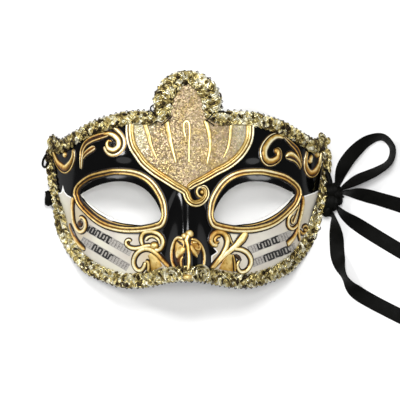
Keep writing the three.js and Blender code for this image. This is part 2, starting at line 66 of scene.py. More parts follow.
def unit(v):
    return v / np.maximum(np.linalg.norm(v, axis=-1, keepdims=True), 1e-9)


def bezier(points, count):  # cubic weights times the four handles
    t = np.linspace(0, 1, count + 1)[:, None]
    a, b, c, d = np.array(points, float)
    return (1 - t) ** 3 * a + 3 * t * (1 - t) ** 2 * b + 3 * t * t * (1 - t) * c + t ** 3 * d


def through(points, step):  # smooth line through every point, each span a cubic of its four neighbours
    p = np.array(points, float)
    p = np.vstack([2 * p[0] - p[1], p, 2 * p[-1] - p[-2]])
    span = np.linalg.norm((p[2:-1] - p[1:-2])[:, :3], axis=1)
    parts = np.maximum(1, np.round(span / step)).astype(int)
    k = np.repeat(np.arange(len(parts)), parts)
    t = (np.arange(parts.sum()) - np.repeat(np.cumsum(parts) - parts, parts)) / np.repeat(parts, parts)
    k, t = np.append(k, len(parts) - 1), np.append(t, 1.0)[:, None]
    a, b, c, d = p[k], p[k + 1], p[k + 2], p[k + 3]
    return 0.5 * (2 * b + (c - a) * t + (2 * a - 5 * b + 4 * c - d) * t ** 2 + (3 * b - a - 3 * c + d) * t ** 3)


def anglesOf(count):  # evenly round a circle
    return np.linspace(0, math.tau, count, endpoint=False)


def runOf(points):  # length from the start to each point
    return np.append(0, np.cumsum(np.linalg.norm(np.diff(points[:, :3], axis=0), axis=1)))


def atRun(points, where):  # points at given lengths along a line
    run = runOf(points)
    return np.stack([np.interp(where, run, points[:, a]) for a in range(points.shape[1])], -1)


def evenly(points, step):  # same line, cut at equal lengths
    total = runOf(points)[-1]
    return atRun(points, np.linspace(0, total, max(2, int(round(total / step))) + 1))


def spread(values, count):  # a short list stretched over count places
    return np.interp(np.linspace(0, len(values) - 1, count), np.arange(len(values)), values)


def wander(s, seed, size):  # slow wave without a beat, from four sines of seeded lengths and starts
    dice = np.random.default_rng(seed)
    waves = size * np.array([1.0, 0.62, 0.41, 0.27])
    starts = dice.uniform(0, math.tau, 4)
    return sum(w * np.sin(math.tau * s / w + p) for w, p in zip(waves, starts)) / waves.sum()


# The face of the mask

shape = {"sideHalf": 89, "crownRadius": 19.8, "crownY": 48.5, "bottomY": -63.3, "midY": -23, "wall": 2.2,
         "domeTop": 46, "archHeight": 5.5, "archWidth": 11, "archY": -12, "noseRise": 17, "socketDepth": 2.6,
         "fall": 0.81, "sagAbove": 0.0018, "sagBelow": 0.0012, "sidePull": 0.0024, "crownSweep": 112.6,
         "neck": (18.3, 40.9), "dip": (81, 24.6), "tip": (88.6, 27.5), "sideFoot": -24,
         "eyeCentre": (43, -14), "eyeOuter": (70, -10), "eyeInner": (16.5, -24)}


def sideX(y):  # side of the outline, pulling in below the tip
    return shape["sideHalf"] - shape["sidePull"] * np.maximum(0, 27 - y) ** 2


browLine = np.vstack([bezier([shape["neck"], (30, 45.3), (58, 42), shape["dip"]], 60),
                      bezier([shape["dip"], (84, 23.4), (86.6, 25), shape["tip"]], 12)[1:]])
cheekLine = bezier([(sideX(shape["sideFoot"]), shape["sideFoot"]), (79, -48.5), (58, -69.3), (33, -68.2)], 60)
noseLine = bezier([(33, -68.2), (22, -67.4), (12, shape["bottomY"]), (0, shape["bottomY"])], 30)
bottomLine = np.vstack([cheekLine, noseLine[1:]])[::-1]
lidUpper = bezier([shape["eyeOuter"], (53, 2), (25, 5.5), shape["eyeInner"]], 90)[::-1]
lidLower = bezier([shape["eyeInner"], (18, -33), (50, -33), shape["eyeOuter"]], 90)
rimLine = np.array([(73.4, -9.6), (72.6, -6), (70, -2.6), (65, 1.2), (60, 3.3), (50, 5.7), (45, 6), (40, 5.8),
                    (35, 5.1), (30, 3.4), (25, 0.3), (21, -3.8), (17.5, -9.2), (15.2, -14.6), (14.2, -20),
                    (14.5, -25), (16.8, -28.8), (20, -30.4), (25, -31.6), (32, -32.6), (40, -32.6), (46, -31.7),
                    (52, -30), (57, -27.8), (62, -24.6), (67, -20), (71, -15.2), (73.4, -9.6)])


def crownPoint(t):  # arc of the crown, from the top at 0 to the neck at 1
    angle = np.radians(90 - shape["crownSweep"] * np.asarray(t, float))
    return np.stack([shape["crownRadius"] * np.cos(angle), shape["crownY"] + shape["crownRadius"] * np.sin(angle)], -1)


def eyeDistance(points):  # distance from the eye centre by direction, for a closed line round the eye
    d = np.asarray(points) - shape["eyeCentre"]
    angle, far = np.arctan2(d[:, 1], d[:, 0]), np.hypot(d[:, 0], d[:, 1])
    order = np.argsort(angle)
    return lambda a: np.interp(a, angle[order], far[order], period=math.tau)


swells = ((2.5, 45, 22, 13, 10), (1.6, 45, 18, -46, 11))  # brow and cheek: height, then place and width in x and in y
openingAt = eyeDistance(np.vstack([lidUpper[:-1], lidLower[::-1][:-1]]))
rimAt = eyeDistance(through(rimLine, 2)[:-1])


def face(x, y):
    # A dome that falls to the sides as an ellipse does, plus a low arch at each side, the nose, the brow and
    # cheek swells, less a bevel that sinks from the rim to the eye opening
    ax = np.abs(x)
    edge = shape["archHeight"] * bump(y, shape["archY"], shape["archWidth"])
    top = shape["domeTop"] - np.where(y > 0, shape["sagAbove"], shape["sagBelow"]) * y * y
    t = np.minimum(ax / sideX(y), 1.08)
    flat = math.sqrt(1 - shape["fall"])
    z = edge + (top - edge) * (np.sqrt(1 - shape["fall"] * t * t) - flat) / (1 - flat)
    noseWidth = np.clip(9.5 - 0.12 * (y + 25), 7, 14)
    z = z + shape["noseRise"] * ease((8 - y) / 68) * np.exp(-(ax / noseWidth) ** 2.4)
    for height, atX, wideX, atY, wideY in swells:
        z = z + height * bump(ax, atX, wideX) * bump(y, atY, wideY)
    dx, dy = ax - shape["eyeCentre"][0], y - shape["eyeCentre"][1]
    angle = np.arctan2(dy, dx)
    opening = openingAt(angle)
    gap = np.maximum(0.5, rimAt(angle) - opening)
    level = (np.hypot(dx, dy) - opening) / gap
    return z - np.minimum(shape["socketDepth"], 0.6 * gap) * np.clip(1 - level, 0, 1)


def faceNormal(x, y):
    h = 0.6
    return unit(np.stack([face(x - h, y) - face(x + h, y), face(x, y - h) - face(x, y + h),
                          np.full(np.shape(x), 2 * h)], -1))


def onFace(x, y, lift=0.0):  # point on the face, lifted along its normal
    base = np.stack([x, y, face(x, y)], -1)
    return base + np.asarray(lift)[..., None] * faceNormal(x, y)


def insideBy(points, outline):  # distance in from a closed outline, negative outside
    a = np.asarray(outline, float)
    b = np.roll(a, -1, axis=0)
    p = np.asarray(points)[:, None]
    t = np.clip(((p - a) * (b - a)).sum(-1) / np.maximum(((b - a) ** 2).sum(-1), 1e-9), 0, 1)
    far = np.linalg.norm(p - a - t[..., None] * (b - a), axis=-1).min(1)
    crosses = (a[:, 1] > p[..., 1]) != (b[:, 1] > p[..., 1])
    slope = (p[..., 1] - a[:, 1]) / np.where(b[:, 1] == a[:, 1], 1e9, b[:, 1] - a[:, 1])
    inside = (crosses & (p[..., 0] < a[:, 0] + slope * (b[:, 0] - a[:, 0]))).sum(1) % 2 == 1
    return np.where(inside, far, -far)


# Meshes

def gridFaces(rows, cols, wrapRows=False, wrapCols=False):  # four-sided faces between neighbouring rows and columns
    r, c = np.meshgrid(np.arange(rows - (not wrapRows)), np.arange(cols - (not wrapCols)), indexing="ij")
    r2, c2 = (r + 1) % rows, (c + 1) % cols
    return np.stack([r * cols + c, r * cols + c2, r2 * cols + c2, r2 * cols + c], -1).reshape(-1, 4)


def volumeOf(points, faces):  # signed sum of the wedges from the origin to each face
    return sum(float((points[f][:, :1] * np.cross(points[f][:, 1:-1], points[f][:, 2:])).sum()) for f in faces)


def tube(rings, closed=False, look=0, **tags):  # closed body from rings of points along a path
    rows, cols = rings.shape[:2]
    points = rings.reshape(-1, 3)
    faces = [gridFaces(rows, cols, closed, True)]
    if not closed:
        faces += [np.arange(cols)[None, ::-1], (rows - 1) * cols + np.arange(cols)[None]]
    if volumeOf(points - points.mean(0), faces) < 0:
        faces = [f[:, ::-1] for f in faces]
    tags = {k: np.broadcast_to(v, (rows, cols)).reshape(-1) for k, v in tags.items()}
    return {"points": points, "faces": faces, "tags": tags, "look": look}


def makePiece(name, parts, looks, replaces=(), sharpAngle=50):
    # One mesh from several bodies; each tag becomes a value on the points, u and v also the UV map. A body's look is
    # the number of its material, or one number for each of its groups of faces
    starts = np.cumsum([0] + [len(p["points"]) for p in parts])
    points = np.vstack([p["points"] for p in parts]) * mm
    faces = [f + s for p, s in zip(parts, starts) for f in p["faces"]]
    look = np.concatenate([np.full(len(f), number) for p in parts
                           for f, number in zip(p["faces"], np.broadcast_to(p["look"], len(p["faces"])))])
    counts = np.concatenate([np.full(len(f), f.shape[1]) for f in faces])
    loops = np.concatenate([f.reshape(-1) for f in faces])
    mesh = bpy.data.meshes.new(name)
    mesh.vertices.add(len(points))
    mesh.vertices.foreach_set("co", points.ravel())
    mesh.loops.add(len(loops))
    mesh.loops.foreach_set("vertex_index", loops.astype(np.int32))
    mesh.polygons.add(len(counts))
    mesh.polygons.foreach_set("loop_start", (np.cumsum(counts) - counts).astype(np.int32))
    mesh.polygons.foreach_set("material_index", look.astype(np.int32))
    mesh.update(calc_edges=True)
    names = sorted(set().union(*[p["tags"] for p in parts]))
    values = {n: np.concatenate([p["tags"].get(n, np.zeros(len(p["points"]))) for p in parts]) for n in names}
    for n in names:
        mesh.attributes.new(n, "FLOAT", "POINT").data.foreach_set("value", values[n].astype(np.float32))
    if "u" in values:
        uv = mesh.uv_layers.new(name="UVMap")
        uv.data.foreach_set("uv", np.stack([values["u"][loops], values["v"][loops]], -1).ravel().astype(np.float32))
    mesh.shade_smooth()
    mesh.set_sharp_from_angle(angle=math.radians(sharpAngle))
    for m in looks:
        mesh.materials.append(m)
    piece = bpy.data.objects.new(name, mesh)
    scene.collection.objects.link(piece)
    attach(piece, "root")
    if replaces:
        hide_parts(*replaces)
    print("made", name, len(counts), "faces")
    return piece


def turned(x, y, degrees):  # turned about the origin
    c, s = math.cos(math.radians(degrees)), math.sin(math.radians(degrees))
    return x * c - y * s, x * s + y * c


def aboveFloor(points, gap):
    points[..., 2] = np.maximum(points[..., 2], gap)
    return points


def squareTo(line, normal):  # sideways and upward directions along a line
    ahead = unit(np.gradient(line, axis=-2))
    side = unit(np.cross(ahead, normal))
    return side, np.cross(side, ahead)


def ringsRound(line, side, up, radius, angles):  # a circle of points about each point of a line
    circle = side[..., None, :] * np.cos(angles)[:, None] + up[..., None, :] * np.sin(angles)[:, None]
    return line[..., None, :] + np.asarray(radius)[..., None, None] * circle


def roundLine(route, radius, sides=8, step=0.6, **tags):  # thread of round section with rounded ends
    path = evenly(through(route, step), step)
    angles = anglesOf(sides)
    run = runOf(path)
    end = np.sqrt(np.clip(1 - (1 - np.minimum(run, run[-1] - run) / radius).clip(0) ** 2, 0.02, 1))
    side, up = squareTo(path, [0.13, 0.21, 0.97])
    return tube(ringsRound(path, side, up, radius * end, angles), run=run[:, None], turn=angles / (math.tau), **tags)


# Materials: each helper adds nodes to the material that newLook began last

graph = {}


def feed(node, key, value):  # a socket is linked, a plain value or colour is written
    target = node.inputs[key]
    if isinstance(value, bpy.types.NodeSocket):
        graph["tree"].links.new(value, target)
    else:
        target.default_value = (*value, 1) if target.type == "RGBA" else value


def give(**sockets):  # inputs of the shader itself, with an underscore for a space
    for key, value in sockets.items():
        feed(graph["shader"], key.replace("_", " "), value)


def newLook(name, **plain):
    look = bpy.data.materials.new(name)
    look.use_nodes = True
    graph["tree"], graph["shader"] = look.node_tree, look.node_tree.nodes["Principled BSDF"]
    give(**plain)
    return look


def put(kind, inputs, **settings):
    n = graph["tree"].nodes.new("ShaderNode" + kind)
    for key, value in settings.items():
        setattr(n, key, value)
    for key, value in inputs.items():
        feed(n, key, value)
    return n


def maths(kind, *terms):
    return put("Math", dict(enumerate(terms)), operation=kind).outputs[0]


def times(a, b):
    return maths("MULTIPLY", a, b)


def plus(a, b):
    return maths("ADD", a, b)


def between(value, low, high, toLow=0.0, toHigh=1.0):  # value from low..high onto toLow..toHigh
    return put("MapRange", {0: value, 1: low, 2: high, 3: toLow, 4: toHigh}).outputs[0]


def blendOf(share, a, b, **settings):  # colour a, and b by its share
    return put("Mix", {0: share, 6: a, 7: b}, data_type="RGBA", **settings).outputs[2]


def ramp(value, *stops):  # colour by value; each stop is its place, red, green and blue
    n = put("ValToRGB", {0: value})
    for i, (at, *colour) in enumerate(stops):
        e = n.color_ramp.elements[i] if i < 2 else n.color_ramp.elements.new(at)
        e.position, e.color = at, (*colour, 1)
    return n.outputs[0]


def tag(name):
    return put("Attribute", {}, attribute_name=name).outputs["Fac"]


def place():
    return put("TexCoord", {}).outputs["Object"]


def placeXY():
    return put("SeparateXYZ", {0: place()}).outputs[:2]


def noise(scale, detail):
    return put("TexNoise", {"Scale": scale, "Detail": detail, "Vector": place()}).outputs["Fac"]


def cells(scale):  # a random colour for each cell
    return put("TexVoronoi", {"Scale": scale, "Vector": place()}).outputs["Color"]


def channels(colour):
    return put("SeparateColor", {0: colour}).outputs


def vectors(kind, inputs):
    return put("VectorMath", inputs, operation=kind).outputs[0]


def bumpOf(height, strength, distance):
    return put("Bump", {"Height": height, "Strength": strength, "Distance": distance}).outputs[0]


def speckled(name, scale, detail, dark, pale, **plain):  # a look of one mottled colour, and its grain
    look = newLook(name, **plain)
    grain = noise(scale, detail)
    give(Base_Color=ramp(grain, (0.3, *dark), (0.7, *pale)))
    return look, grain


def satinBlack():
    # Fine lengthwise threads crossed by rows, a cloudy shade, a firmer woven edge
    look = newLook("satinBlack", Specular_IOR_Level=0.06)
    u = tag("u")
    threads = maths("SINE", times(u, math.tau * 34))
    rows = maths("SINE", times(tag("v"), math.tau * 2.2))
    cloudy = noise(260, 3)
    edge = between(maths("ABSOLUTE", maths("SUBTRACT", u, 0.5)), 0.44, 0.48)
    tone = blendOf(cloudy, (0.001, 0.001, 0.0008), (0.0032, 0.0032, 0.0025))
    give(Base_Color=blendOf(edge, tone, (0.0022, 0.0022, 0.0018)),
         Roughness=between(plus(cloudy, times(edge, 0.3)), 0.3, 1.0, 0.42, 0.7),
         Normal=bumpOf(maths("MULTIPLY_ADD", threads, rows, threads), 0.25, 0.00006))
    return look


# The ties: flat ribbon on the routes of the solids

tie = {"width": 9.5, "thick": 0.42, "selvedge": 0.35, "crown": 0.22, "ripple": 0.18, "floorGap": 0.05,
       "step": 1.4, "slant": 0.55, "slantRun": 9, "pleatDepth": 0.28, "onFloor": 0.33, "clearance": 1.4}
archY, onFloor = shape["archY"], tie["onFloor"]
routes = {  # x, y, height and tilt in degrees
    "leftRun": [(x, y, onFloor, 0) for x, y in (
        (-89, -13), (-84.5, -10.4), (-78.6, -2), (-70, 9), (-52, 17.4), (0, 19.4), (52, 17.4), (69, 9.4), (77, -1),
        (83.6, -10.4), (89.4, -17.4))] + [
        (94.8, -23, 3.6, 74), (96.6, -29.4, 3, 52), (97.6, -38.5, 0.8, 14), (98.4, -50, 0.6, 8),
        (101.4, -60.5, 4.4, 62), (104.6, -66.6, 4.4, 60), (110.4, -73.4, 1.9, 15), (121, -80, onFloor, 0),
        (139.3, -89.4, onFloor, 0), (153, -95.6, onFloor, 0), (168, -99, onFloor, 0)],
    "upperTail": [
        (99.4, -8.4, 4.6, 80), (105.6, -8.6, 4.4, 62), (112, -9.2, 3.6, 36), (119, -10.9, 2.7, 24),
        (128, -13.4, 2.4, 20), (139.3, -16.8, 1.6, 12), (152, -21.6, onFloor, 0), (166, -28, onFloor, 0)],
    "middleTail": [
        (95.6, -15.6, 4.4, 80), (99.6, -19.8, 4.2, 70), (105, -25, 3, 42), (117.3, -33.3, 0.5, 8),
        (139.3, -46.6, onFloor, 0), (153, -53.8, onFloor, 0), (167, -60, onFloor, 0)],
    "loop": [
        (98, -4.6, 5.6, 72), (99.2, 0.4, 5.6, 52), (102, 8.4, 6.4, 22), (108.4, 17.4, 6.6, 20), (117.7, 25.4, 6.2, 42),
        (127.8, 27.8, 5.6, 62), (134.3, 20.6, 5.4, 65), (132.2, 11.6, 5.4, 65), (123.4, 5.4, 5.6, 52),
        (112.6, 0.6, 6.4, 44), (104.4, -3.6, 6.6, 62), (99.6, -6.4, 6, 82)],
}


def underside(x):  # height of a ribbon that lies against the inside of the mask
    spots = archY + np.array([-5.0, 0, 5])
    xs = np.full(3, float(x))
    return float((face(xs, spots) - (shape["wall"] + tie["clearance"]) / faceNormal(xs, spots)[:, 2]).min())


for side, name in ((1, "rightAnchor"), (-1, "leftAnchor")):
    routes[name] = [(x * side, archY, underside(x), 0) for x in (75.4, 78.4, 80.8)] + [
        (84 * side, archY, 1.4, 0), (88.8 * side, archY, 1.3, 0)]


def ribbonBody(route, endCut, seed):
    # Section: a flat strip, thicker along both edges and slightly crowned. It is carried along the route with its
    # width level and then tilted, and each ring is raised until it clears the floor
    path = evenly(through(route, 2), tie["step"])
    run = runOf(path)
    centre = path[:, :3]
    t = unit(np.gradient(centre, axis=0))
    level = unit(np.cross([0, 0, 1.0], t))
    tilt = np.radians(path[:, 3:4])
    across = unit(level * np.cos(tilt) + unit(np.cross(t, level)) * np.sin(tilt))
    thick = unit(np.cross(t, across))
    u = np.sin(np.linspace(-math.pi / 2, math.pi / 2, 15)) * 0.5
    half = tie["thick"] / 2 * (0.75 + tie["selvedge"] * ease((np.abs(u) - 0.4) / 0.08)) * np.sqrt(1.02 - (2 * u) ** 8)
    arch = tie["crown"] * (1 - (2 * u) ** 2)
    u2, half2 = np.append(u, u[::-1]), np.append(half, -half[::-1])
    lift = half2 + np.append(arch, arch[::-1]) + tie["ripple"] * wander(run[:, None] + 6 * u2, seed, 26)
    cut = endCut * ease(1 - (run[-1] - run) / tie["slantRun"])[:, None]
    rings = (centre[:, None] + across[:, None] * (u2 * tie["width"])[:, None] + thick[:, None] * lift[..., None]
             + t[:, None] * (cut * u2 * tie["width"])[..., None])
    low = np.maximum(0, tie["floorGap"] - rings[..., 2].min(1))
    rings[..., 2] += low[:, None]
    line = centre + np.stack([0 * low, 0 * low, low], -1)
    return tube(rings, u=u2 + 0.5, v=run[:, None]), line * mm


satin = satinBlack()
ribbons = {}
for name, node, endCut in (
        ("leftRun", "left_tie_run", tie["slant"]), ("upperTail", "right_tie_upper_tail", tie["slant"]),
        ("middleTail", "right_tie_middle_tail", -tie["slant"]), ("loop", "right_tie_loop", 0),
        ("rightAnchor", "right_tie_anchor", 0), ("leftAnchor", "left_tie_anchor", 0)):
    body, line = ribbonBody(routes[name], endCut, len(name))
    ribbons[name] = (makePiece(name, [body], [satin], [node]), line)


def wrapBand(centre, reach, rise, wide, seed, thick=1.5, turn=0.0, pleats=2.5):
    # A gathered ribbon wound once round: a long oval ring of flat oval section, pleated lengthwise
    a = anglesOf(56)[:, None]
    b = anglesOf(26)[None]
    x = wide / 2 * np.cos(b) * (1 + 0.1 * np.sin(3 * a + seed) + 0.06 * np.sin(5 * a))
    pleat = np.cos(math.tau * pleats * x / wide + 0.8 * np.sin(a * 2 + seed)) * (np.abs(np.sin(b)) ** 0.5)
    out = thick / 2 * np.sign(np.sin(b)) * np.abs(np.sin(b)) ** 0.7
    out = out + np.where(np.sin(b) > 0, tie["pleatDepth"] * pleat, 0)
    y, z = (reach + out) * np.cos(a), (rise + out) * np.sin(a)
    rings = np.stack([*turned(x, y, turn), z], -1) + np.array(centre)
    return tube(aboveFloor(rings, tie["floorGap"]), closed=True, u=0.5 + x / wide * 0.8, v=a * reach)


def lump(centre, radii, turn=0.0, seed=5):
    # A ball drawn out in three directions, with shallow folds round it
    a = np.linspace(-math.pi / 2, math.pi / 2, 20)[1:-1, None]
    b = anglesOf(30)[None]
    fold = 1 + 0.06 * np.sin(4 * b + 3 * np.sin(a * 2) + seed) + 0.04 * np.sin(7 * b + seed)
    x, y = turned(radii[0] * np.cos(a) * np.cos(b) * fold, radii[1] * np.sin(a) + 0 * b, turn)
    rings = np.stack([x, y, radii[2] * np.cos(a) * np.sin(b) * fold], -1) + np.array(centre)
    return tube(aboveFloor(rings, tie["floorGap"]), u=b / 6.3, v=a * radii[1])


tieKnotRight = makePiece("tieKnotRight", [
    lump((94.6, -10.8, 4.0), (4.2, 8.4, 3.6), 4),
    wrapBand((94.6, -14.2, 4.4), 5.4, 3.4, 7.2, 2, turn=-12),
    wrapBand((95.0, -7.0, 4.8), 4.2, 3.7, 7.0, 4, turn=14),
    wrapBand((98.6, -9.2, 5.6), 3.6, 2.7, 5.0, 6, thick=1.2, turn=24, pleats=1.5),
    lump((92.0, -19.4, 3.6), (3.3, 5.4, 3.4), -24, seed=9),
    lump((91.4, -6.6, 3.0), (2.5, 5.6, 2.6), 8, seed=7),
    lump((98.4, -7.6, 4.4), (3.6, 3.4, 4.0), 10, seed=12),
    lump((98.4, -13.4, 3.8), (3.2, 3.6, 3.4), 30, seed=14),
], [satin], ["right_tie_knot"], 70)
tieKnotLeft = makePiece("tieKnotLeft", [
    lump((-91.2, -12.6, 3.4), (2.0, 4.8, 3.0), 0, seed=2),
    wrapBand((-91.0, -12.2, 3.7), 4.4, 2.8, 4.6, 8, thick=1.2, pleats=1.5),
], [satin], ["left_tie_knot"], 70)
for name in ("leftRun", "upperTail", "middleTail", "loop"):
    piece, line = ribbons[name]
    print("ribbon", name, "length", round(float(runOf(line)[-1]) * 1000), "mm")

# The shell: grids from the eye out to the edge, joined along shared points

grid = {"middle": 28, "lid": 92, "side": 30, "upper": 54, "crown": 24, "lower": 50, "browTurn": 66, "lidFrom": 20.6,
        "lidLeaves": 24}


def columnsOf(spans):  # low and high end of each column, for lines given as (low, high, count)
    return [np.vstack([atRun(span[i], np.arange(span[2]) / span[2] * runOf(span[i])[-1]) for span in spans]
                      + [spans[-1][i][-1:]]) for i in (0, 1)]


def patchOf(low, high, rows, bend=0):  # straight columns; the last ones follow the side of the outline
    v = np.linspace(0, 1, rows + 1)[:, None, None]
    p = low * (1 - v) + high * v
    if bend:
        share = np.clip((np.arange(len(low)) - (len(low) - 1 - bend)) / bend, 0, 1)
        along = np.clip((p[..., 1] - low[-1, 1]) / (high[-1, 1] - low[-1, 1]), 0, 1)
        p[1:, :, 0] += (share * (sideX(p[..., 1]) - low[-1, 0] - along * (high[-1, 0] - low[-1, 0])))[1:]
    return p


cut = int(np.argmax(browLine[:, 0] > grid["browTurn"]))
bottomRun = runOf(bottomLine)
lidFrom, lidTo = grid["lidFrom"], bottomRun[-1] - grid["lidLeaves"]
marks = atRun(bottomLine, np.array([lidFrom, lidTo]))
underMiddle = np.vstack([bottomLine[bottomRun < lidFrom], marks[:1]])
underLid = np.vstack([marks[:1], bottomLine[(bottomRun > lidFrom) & (bottomRun < lidTo)], marks[1:]])
underSide = np.vstack([marks[1:], bottomLine[bottomRun > lidTo]])
innerLine = np.array([(0, shape["midY"]), shape["eyeInner"]], float)
sideLine = np.array([shape["eyeOuter"], (sideX(-8), -8)], float)
neckLine = np.array([(0, 43), shape["neck"]], float)
upper, lower = (
    patchOf(*columnsOf([(innerLine, first, grid["middle"]), (lidLine, second, grid["lid"]),
                        (sideLine, third, grid["side"])]), rows, grid["side"])
    for lidLine, first, second, third, rows in (
        (lidUpper, neckLine, browLine[:cut + 1], browLine[cut:], grid["upper"]),
        (lidLower, underMiddle, underLid, underSide, grid["lower"])))
steps = np.arange(grid["middle"] + 1) / grid["middle"]
crown = patchOf(atRun(neckLine, steps * runOf(neckLine)[-1]), crownPoint(steps), grid["crown"])

flatPoints, flatFaces, start = [], [], 0
for mirror in (1, -1):
    for patch, turn in ((upper, 1), (crown, 1), (lower, -1)):
        rows, cols = patch.shape[:2]
        flatPoints.append(patch.reshape(-1, 2) * (mirror, 1))
        flatFaces.append(gridFaces(rows, cols)[:, ::turn * mirror] + start)
        start += rows * cols
xy = np.vstack(flatPoints)
_, first, shared = np.unique(np.round(xy * 200).astype(np.int64), axis=0, return_index=True, return_inverse=True)
xy, frontFaces = xy[first], shared.reshape(-1)[np.vstack(flatFaces)]
frontFaces = frontFaces[~(frontFaces == np.roll(frontFaces, 1, axis=1)).any(1)]

# Painted areas, as distances in from their outlines
lowerRim = rimLine[18:-1][::-1]
paperRight = np.vstack([
    [(92, -5), (84, -7.6), (83.5, -8.1), (76.5, -10.4), (73.5, -11.6)], lowerRim[:-1],
    [(17, -31), (15.5, -38), (15.5, -43), (19, -47), (15.3, -49.5), (15.3, -56), (15, -74), (100, -74), (100, -5)]])
paperLeft = np.vstack([
    [(-92, -6), (-83.6, -8.6), (-82.7, -8.2), (-82.1, -5.8), (-81.6, -2.9), (-81, -5.6), (-80.2, -7.9), (-78.5, -9.9),
     (-75.9, -11.3), (-73.4, -11.6)], lowerRim[:-1] * (-1, 1),
    [(-19, -31), (-17, -36), (-17.5, -44), (-19, -47.5), (-11.5, -55.5), (-11, -74), (-100, -74), (-100, -6)]])
fanLeft = [(-37.8, 38), (-37.9, 30), (-36.2, 21.7), (-32.7, 15.8), (-29, 10.6), (-23.8, 6), (-18.9, 2.5), (-13.9, -0.7),
           (-9, -3.9), (-4.7, -6.4), (-1.3, -8.8)]
fanRight = [(41.3, 38), (41, 28.5), (39, 22), (35, 15.8), (30, 11.1), (25, 7.7), (19, 4.6), (14, 1.6), (9, -1.1),
            (4, -3.6), (0.6, -6.4)]
fanArea = np.vstack([through(fanLeft, 2), through(fanRight, 2)[::-1],
                     [(41, 52), (20, 54), (26, 80), (-26, 80), (-20, 54), (-38, 52)]])
lid = {"rimTakes": 2.65, "lipFrom": 0.6, "lipShare": 0.55, "lipMost": 1.3, "groove": 0.65, "underRim": 2,
       "slope": 0.19, "height": -27, "lipRaise": 0.5}
eyeX, eyeY = np.abs(xy[:, 0]) - shape["eyeCentre"][0], xy[:, 1] - shape["eyeCentre"][1]
eyeAngle = np.arctan2(eyeY, eyeX)


def gapHere(x, y):  # how far outside the opening, measured from the eye centre
    return np.hypot(x, y) - openingAt(np.arctan2(y, x))


nudge = 0.3  # half of the step over which the slope of the gap is measured
steep = np.hypot(gapHere(eyeX + nudge, eyeY) - gapHere(eyeX - nudge, eyeY),
                 gapHere(eyeX, eyeY + nudge) - gapHere(eyeX, eyeY - nudge)) / (2 * nudge)
steep = np.maximum(steep, 0.3)  # the gap over this is the distance square to the opening
fromHole = gapHere(eyeX, eyeY) / steep
toRim = rimAt(eyeAngle) - np.hypot(eyeX, eyeY)
room = (rimAt(eyeAngle) - openingAt(eyeAngle)) / steep - lid["rimTakes"]
lipWide = np.clip((room - lid["lipFrom"]) * lid["lipShare"], 0, lid["lipMost"])
lowerLid = (lid["slope"] * np.abs(xy[:, 0]) + lid["height"] - xy[:, 1]) * 0.5  # fades both out above this line
warmth = (bump(np.abs(xy[:, 0]), 23, 11) * bump(xy[:, 1], -50, 12) + bump(xy[:, 0], -71, 7) * bump(xy[:, 1], -28, 15)
          + bump(xy[:, 0], 70, 6) * bump(xy[:, 1], -27, 11))
shellTags = {name: np.tile(value, 2) for name, value in (
    ("paper", np.maximum(insideBy(xy, paperLeft), insideBy(xy, paperRight))), ("fan", insideBy(xy, fanArea)),
    ("sill", np.minimum(np.minimum(fromHole - lipWide - lid["groove"], toRim + lid["underRim"]), lowerLid)),
    ("lip", np.minimum(lipWide - fromHole, lowerLid + lid["lipRaise"])), ("warmth", warmth))}
count = len(xy)
front = onFace(xy[:, 0], xy[:, 1])
back = aboveFloor(onFace(xy[:, 0], xy[:, 1], np.full(count, -float(shape["wall"]))), 0.03)
edges = np.stack([frontFaces, np.roll(frontFaces, -1, axis=1)], -1).reshape(-1, 2)
lone = edges[~np.isin(edges[:, 1] * count + edges[:, 0], edges[:, 0] * count + edges[:, 1])]
walls = np.stack([lone[:, 1], lone[:, 0], lone[:, 0] + count, lone[:, 1] + count], -1)


def glitterNodes():
    # Flakes: cells of random lightness and tilt, silver at the sides of the fan, golden and rosy between
    x, y = placeXY()
    side = plus(maths("ABSOLUTE", maths("SUBTRACT", x, 0.0025)), times(maths("SUBTRACT", y, 0.02), 0.25))
    silver = times(between(side, 0.0255, 0.0355), between(y, 0.004, 0.016))
    warm = ramp(noise(140, 3), (0.3, 0.27, 0.222, 0.155), (0.5, 0.27, 0.222, 0.142), (0.65, 0.285, 0.222, 0.11))
    small = cells(1500)
    pick, hue = channels(small)[:2]
    tint = ramp(hue, (0.2, 1.08, 0.95, 0.95), (0.5, 1, 1, 1), (0.8, 1.06, 1.02, 0.72))
    base = blendOf(1.0, blendOf(silver, warm, (0.44, 0.435, 0.35)), tint, blend_type="MULTIPLY")
    flake = plus(times(pick, 0.75), times(channels(cells(700))[1], 0.25))
    lightness = ramp(flake, (0.12, 0.55, 0.5, 0.44), (0.4, 0.88, 0.85, 0.82), (0.68, 1.12, 1.1, 1.04),
                     (0.85, 1.7, 1.65, 1.5))
    tilt = vectors("SCALE", {0: vectors("SUBTRACT", {0: small, 1: (0.5, 0.5, 0.5)}), "Scale": 0.42})
    tilted = vectors("ADD", {0: put("NewGeometry", {}).outputs["Normal"], 1: tilt})
    return blendOf(1.0, base, lightness, blend_type="MULTIPLY"), vectors("NORMALIZE", {0: tilted})


